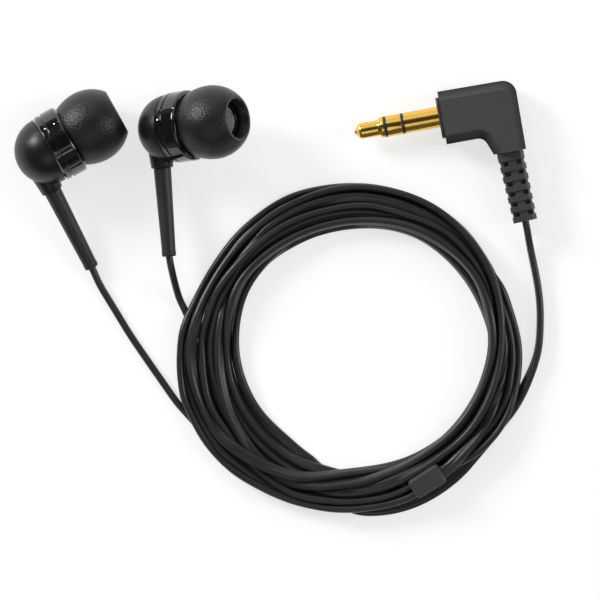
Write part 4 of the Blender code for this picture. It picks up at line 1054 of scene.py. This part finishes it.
def addPin():
    full, edge, tail = pin["radius"], pin["edge"], pin["length"] + pin["tail"]
    point, core = pin["pointEnd"], pin["core"]
    corners = [*pin["point"], (full, point, edge), (core, point, 0), (core, tail, pin["coreEdge"]),
               (0, tail, 0)]
    addPiece("plugTip", turned(softened(corners), pinMatrix()), "gold", "plug_tip_contact")
    soft = pin["tubeEdge"]
    for name, node, finish, low, high, bore, tube, short, rise in pinRings:
        corners = [(full + rise, low, edge), (full + rise, high, edge), (tube, high, 0),
                   (tube, tail - short, soft), (bore, tail - short, soft), (bore, low, 0)]
        addPiece(name, turned(softened(corners), pinMatrix()), finish, node)
    start, bore, soft = pin["sleeve"], pin["sleeveBore"], pin["collarEdge"]
    collar = pin["length"] + pin["collar"]
    end, crest = collar + pin["collarLength"], full + pin["collarRise"]
    corners = [(full, start, edge), (full, collar, 0), (crest, collar, soft), (crest, end, soft),
               (bore, end, soft), (bore, start, 0)]
    addPiece("plugSleeve", turned(softened(corners), pinMatrix()), "gold", "plug_sleeve_contact")


housing = {
    "length": 13.0,
    "up": 4.2,  # from the pin's axis to the back, and down to the bend
    "down": 4.75, "thickness": 6.0,
    "side": 2.2,  # height of the upright side wall
    "leg": 7.85, "legWidth": 5.4, "legSpread": 1.2, "taper": 0.2, "corner": 2.3,
    "bend": 1.6,
    "chamfer": 1.5,  # width of the slopes
    "ridge": 0.42, "edge": 0.3, "holePlay": 0.15, "holeStart": -1.2, "holeLength": 3,
    "room": (8.6, 5.2, 4.7),  # for the inner mould
    "roomPlace": (5.5, 0, 0),
}


def housingShape():
    # Upright side wall, a slope up to the flat face and another down to the flat underside,
    # cut square at the pin and at the end of the leg.
    spare, soft = housing["chamfer"] * 2, housing["edge"]
    legRight = housing["length"] - housing["taper"]
    legLeft = legRight - housing["legWidth"]
    slope = housing["legSpread"] / (housing["leg"] - housing["down"])
    end = -housing["leg"] - spare
    outline = softened([(-spare, -housing["down"], soft),
                        (legLeft - housing["legSpread"], -housing["down"], housing["bend"]),
                        (legLeft + slope * spare, end, soft), (legRight, end, soft),
                        (housing["length"], housing["up"] - housing["taper"], housing["corner"]),
                        (-spare, housing["up"], soft)], 10)
    half = housing["side"] / 2
    bm = slab(outline, -half, half)
    sloped(bm, housing["chamfer"], housing["thickness"] / 2 - half)
    ridges = [edge for edge in bm.edges if edge.is_manifold and edge.calc_face_angle() > math.radians(20)
              and abs(edge.verts[0].co.z - edge.verts[1].co.z) < 0.01 * mm]
    bevelled(bm, ridges, housing["ridge"], 5)
    for point, normal in (((0, 0, 0), (-1, 0, 0)), ((0, -housing["leg"] * mm, 0), (0, -1, 0))):
        cut = bmesh.ops.bisect_plane(bm, geom=list(bm.verts) + list(bm.edges) + list(bm.faces),
                                     plane_co=point, plane_no=normal, clear_outer=True)
        bmesh.ops.edgeloop_fill(bm, edges=[item for item in cut["geom_cut"]
                                           if isinstance(item, bmesh.types.BMEdge)])
    return bm


def addHousing():
    hole = rod(pin["radius"] + housing["holePlay"], 0, housing["holeLength"],
               Matrix.Translation((housing["holeStart"] * mm, 0, 0)) @ turnToX, 72)
    room = bmesh.new()
    addBlock(room, housing["roomPlace"], housing["room"])
    mesh = carved(finished(housingShape()), (finished(room), hole))
    mesh.transform(plugMatrix())
    addPiece("plugHousing", mesh, "housing", "plug_housing", smoothAngle=25, flatArea=8)


flange = {
    "thickness": 0.42,
    "inGap": 0.1,  # how far it reaches into the gap before the housing
    "width": 4.6, "low": -3.7, "high": 3.2, "lowCorner": 1.8, "highCorner": 1.4,
    "edge": 0.1, "bore": 1.9,
}


def addFlange():
    half, low, high = flange["width"] / 2, flange["low"], flange["high"]
    outline = softened([(-half, low, flange["lowCorner"]), (half, low, flange["lowCorner"]),
                        (half, high, flange["highCorner"]), (-half, high, flange["highCorner"])])
    start = pin["length"]
    end = start + flange["thickness"] + flange["inGap"]
    bm = rounded(slab(outline, start, end), flange["edge"])
    mesh = carved(finished(bm), [rod(flange["bore"], start - 1, end + 1, steps=72)])
    mesh.transform(pinMatrix())
    addPiece("plugFlange", mesh, "plug", "plug_front_flange")


relief = {
    "length": 11.6, "width": 4.5, "endWidth": 4.0, "thickness": 3.6, "corner": 0.8, "turn": 2.3,
    "gap": 0.25,  # after the housing's leg
    # Place and depth of the steps at its start and round the middle of each notch.
    "collar": ((-0.55, 0.06), (0.02, 0.06), (0.08, 0.0)),
    "notch": ((-0.42, 0.0), (-0.3, 0.2), (0.3, 0.2), (0.42, 0.0)),
    "rows": 6, "firstRow": 1.65, "rowPitch": 1.72,
    "window": (0.85, 3, 0.66),
    "windowPlace": (1.1, 2.45),  # sideways, and up or down
    "slot": (0.32, 3, 0.32),  # right through, on one side
    "slotPlace": (1.2, 0.1),  # sideways, and past the middle of the notch
    "slotRow": 2,  # first row with a slot
    "mouth": 1.15, "mouthDepth": 0.9, "softEdge": 0.07,
}


def reliefMatrix():
    turn = math.radians(relief["turn"])
    down = Vector((math.sin(turn), -math.cos(turn), 0))
    flat = Vector((0, 0, 1))
    matrix = Matrix((flat.cross(down), flat, down)).transposed().to_4x4()
    middle = housing["length"] - housing["taper"] - housing["legWidth"] / 2
    matrix.translation = (middle * mm, (-housing["leg"] - relief["gap"]) * mm, 0)
    return plugMatrix() @ matrix


def reliefShape(rows):
    # Ribs and notches, bridged from one outline to the next.
    stations = list(relief["collar"])
    for row in rows:
        stations += [(row + shift, depth) for shift, depth in relief["notch"]]
    stations.append((relief["length"], 0.0))
    bm = bmesh.new()
    loop = None
    for place, depth in stations:
        share = place / relief["length"]
        width = relief["width"] + (relief["endWidth"] - relief["width"]) * share - depth * 2
        outline = softBox(width, relief["thickness"] - depth * 2, relief["corner"])
        verts = [bm.verts.new((x * mm, y * mm, place * mm)) for x, y in outline]
        edges = [bm.edges.new(pair) for pair in zip(verts, verts[1:] + verts[:1])]
        if loop is None:
            bm.faces.new(verts)
        else:
            bmesh.ops.bridge_loops(bm, edges=loop + edges)
        loop = edges
    bm.faces.new(verts)
    return finished(bm)


def addRelief():
    # Ladder strain relief: ribs with soft edges, and windows on both sides of its core.
    rows = [relief["firstRow"] + relief["rowPitch"] * row for row in range(relief["rows"])]
    tools = bmesh.new()
    beside, above = relief["windowPlace"]
    slotBeside, slotPast = relief["slotPlace"]
    for index, row in enumerate(rows):
        for side in (-1, 1):
            for face in (-1, 1):
                addBlock(tools, (side * beside, face * above, row), relief["window"])
        if index >= relief["slotRow"]:
            addBlock(tools, (slotBeside, 0, row + slotPast), relief["slot"])
    end = relief["length"]
    mouth = rod(relief["mouth"], end - relief["mouthDepth"], end + 1, steps=48)
    mesh = carved(reliefShape(rows), (finished(tools), mouth))
    mesh.transform(reliefMatrix())
    piece = addPiece("plugRelief", mesh, "plug", "plug_strain_relief")
    soft = piece.modifiers.new("soft", "BEVEL")
    soft.width = relief["softEdge"] * mm
    soft.segments = 2
    soft.limit_method = "ANGLE"
    soft.angle_limit = math.radians(35)


addPin()
addHousing()
addFlange()
addRelief()
print("plug")


def addSplitter():
    half, chamfer, end = splitter["height"] / 2, splitter["chamfer"], splitter["length"] / 2
    outline = softBox(splitter["length"], splitter["width"], splitter["corner"], 4)
    bm = slab(outline, chamfer - half, half - chamfer)
    sloped(bm, chamfer, chamfer)
    rounded(bm, splitter["edge"])
    slot = bmesh.new()
    addBlock(slot, (end, 0, 0), splitter["twinSlot"])
    cuts = [finished(slot)]
    for side in (-1, 1):
        turn = Matrix.Translation((0, side * splitter["legSpacing"] / 2 * mm, 0)) @ turnToX.inverted()
        cuts.append(rod(splitter["legHole"], end - splitter["legHoleDepth"], end + 1, turn, 48))
    mesh = carved(finished(bm), cuts)
    mesh.transform(Matrix.Translation(Vector(splitter["centre"]) * mm)
                   @ Matrix.Rotation(math.radians(splitter["heading"]), 4, "Z"))
    return addPiece("splitterBlock", mesh, "splitter", "y_splitter", smoothAngle=25, flatArea=2)


splitterBlock = addSplitter()
print("splitter")


# Pieces inside, which keep their CAD shapes.
innerFinishes = {"driver_frame": "steel", "magnet_cup": "steel", "magnet": "magnet", "pole_plate": "steel",
                 "voice_coil": "copper", "diaphragm": "film", "terminal_board": "board",
                 "rear_damper": "paper", "cord_crimp": "copper"}
inner = {earSide + "_" + part: finish for earSide in ("left", "right")
         for part, finish in innerFinishes.items()}
inner["plug_inner_mould"] = "mould"
for name, finish in inner.items():
    nodes[name].data.materials.clear()
    nodes[name].data.materials.append(materials[finish])
print("inner pieces:", len(inner))

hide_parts("cord_loop", "cord_plug_end")
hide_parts("cord_left")
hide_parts("cord_right")
[value * mm for value in splitterSpot(splitter["length"] / 2, 0)]


studio = {
    "floor": 0.5,
    "lift": 0.66,        # light of its own that the floor shows to the camera and in reflections
    "middle": (0.028, -0.02, 0.0),
    "distance": 1.0,
    # Sine of the elevation and the brightness of the walls round the table: dark straight above,
    # pale higher up, a dark line at a low elevation.
    "walls": ((0.0, 0.25), (0.14, 0.25), (0.22, 0.07), (0.42, 0.07), (0.52, 0.16), (0.9, 0.16),
              (0.94, 0.05), (1.0, 0.05)),
}
# Azimuth and elevation of each lamp in degrees, its width and height in metres, its radiance.
lamps = {
    "softboxTop": (92, 28, 0.7, 1.05, 0.8),
    "softboxLow": (-98, 60, 0.45, 0.6, 0.8),
    "stripLow": (-25, 62, 1.1, 0.06, 2.2),
    "keyLeft": (146, 28, 0.3, 0.3, 21),
    "stripRight": (8, 30, 0.25, 0.7, 5),
    "pinLeft": (119, 20, 0.03, 0.03, 150),
    "pinMiddle": (128, 14, 0.03, 0.03, 150),
    "pinRight": (158, 16, 0.03, 0.03, 150),
}


def addFloor():
    bm = bmesh.new()
    bmesh.ops.create_grid(bm, x_segments=1, y_segments=1, size=3.0)
    mesh = toMesh(bm)
    floor = newObject("floor", mesh)
    finish = Finish("paleFloor", (studio["floor"],) * 3, 0.7)
    path = finish.node("ShaderNodeLightPath", output="Is Camera Ray")
    glossy = finish.node("ShaderNodeLightPath", output="Is Glossy Ray")
    through = finish.node("ShaderNodeLightPath", output="Is Transmission Ray")
    seen = path + glossy + through
    finish.feed("Emission Color", seen * studio["lift"])
    finish.shader.inputs["Emission Strength"].default_value = 1.0
    mesh.materials.append(finish.material)


def addLamp(name, azimuth, elevation, width, height, radiance):
    turn, rise = math.radians(azimuth), math.radians(elevation)
    lamp = bpy.data.lights.new(name, "AREA")
    lamp.shape = "RECTANGLE"
    lamp.size, lamp.size_y = width, height
    lamp.energy = radiance * math.pi * width * height
    item = newObject(name, lamp)
    toward = Vector((math.cos(turn) * math.cos(rise), math.sin(turn) * math.cos(rise), math.sin(rise)))
    item.location = Vector(studio["middle"]) + toward * studio["distance"]
    item.rotation_euler = toward.to_track_quat("Z", "Y").to_euler()
    item.visible_camera = False


addFloor()
for name, facts in lamps.items():
    addLamp(name, *facts)

world = bpy.data.worlds.new("studio")
bpy.context.scene.world = world
world.use_nodes = True
walls = Nodes(world.node_tree)
toward = walls.node("ShaderNodeTexCoord", output="Generated")
height = walls.node("ShaderNodeSeparateXYZ", {}, {"Vector": toward}, output="Z")
walls.join(walls.ramp(height, *studio["walls"]), world.node_tree.nodes["Background"].inputs["Color"])
bpy.context.scene.view_settings.view_transform = "Standard"
print("studio")
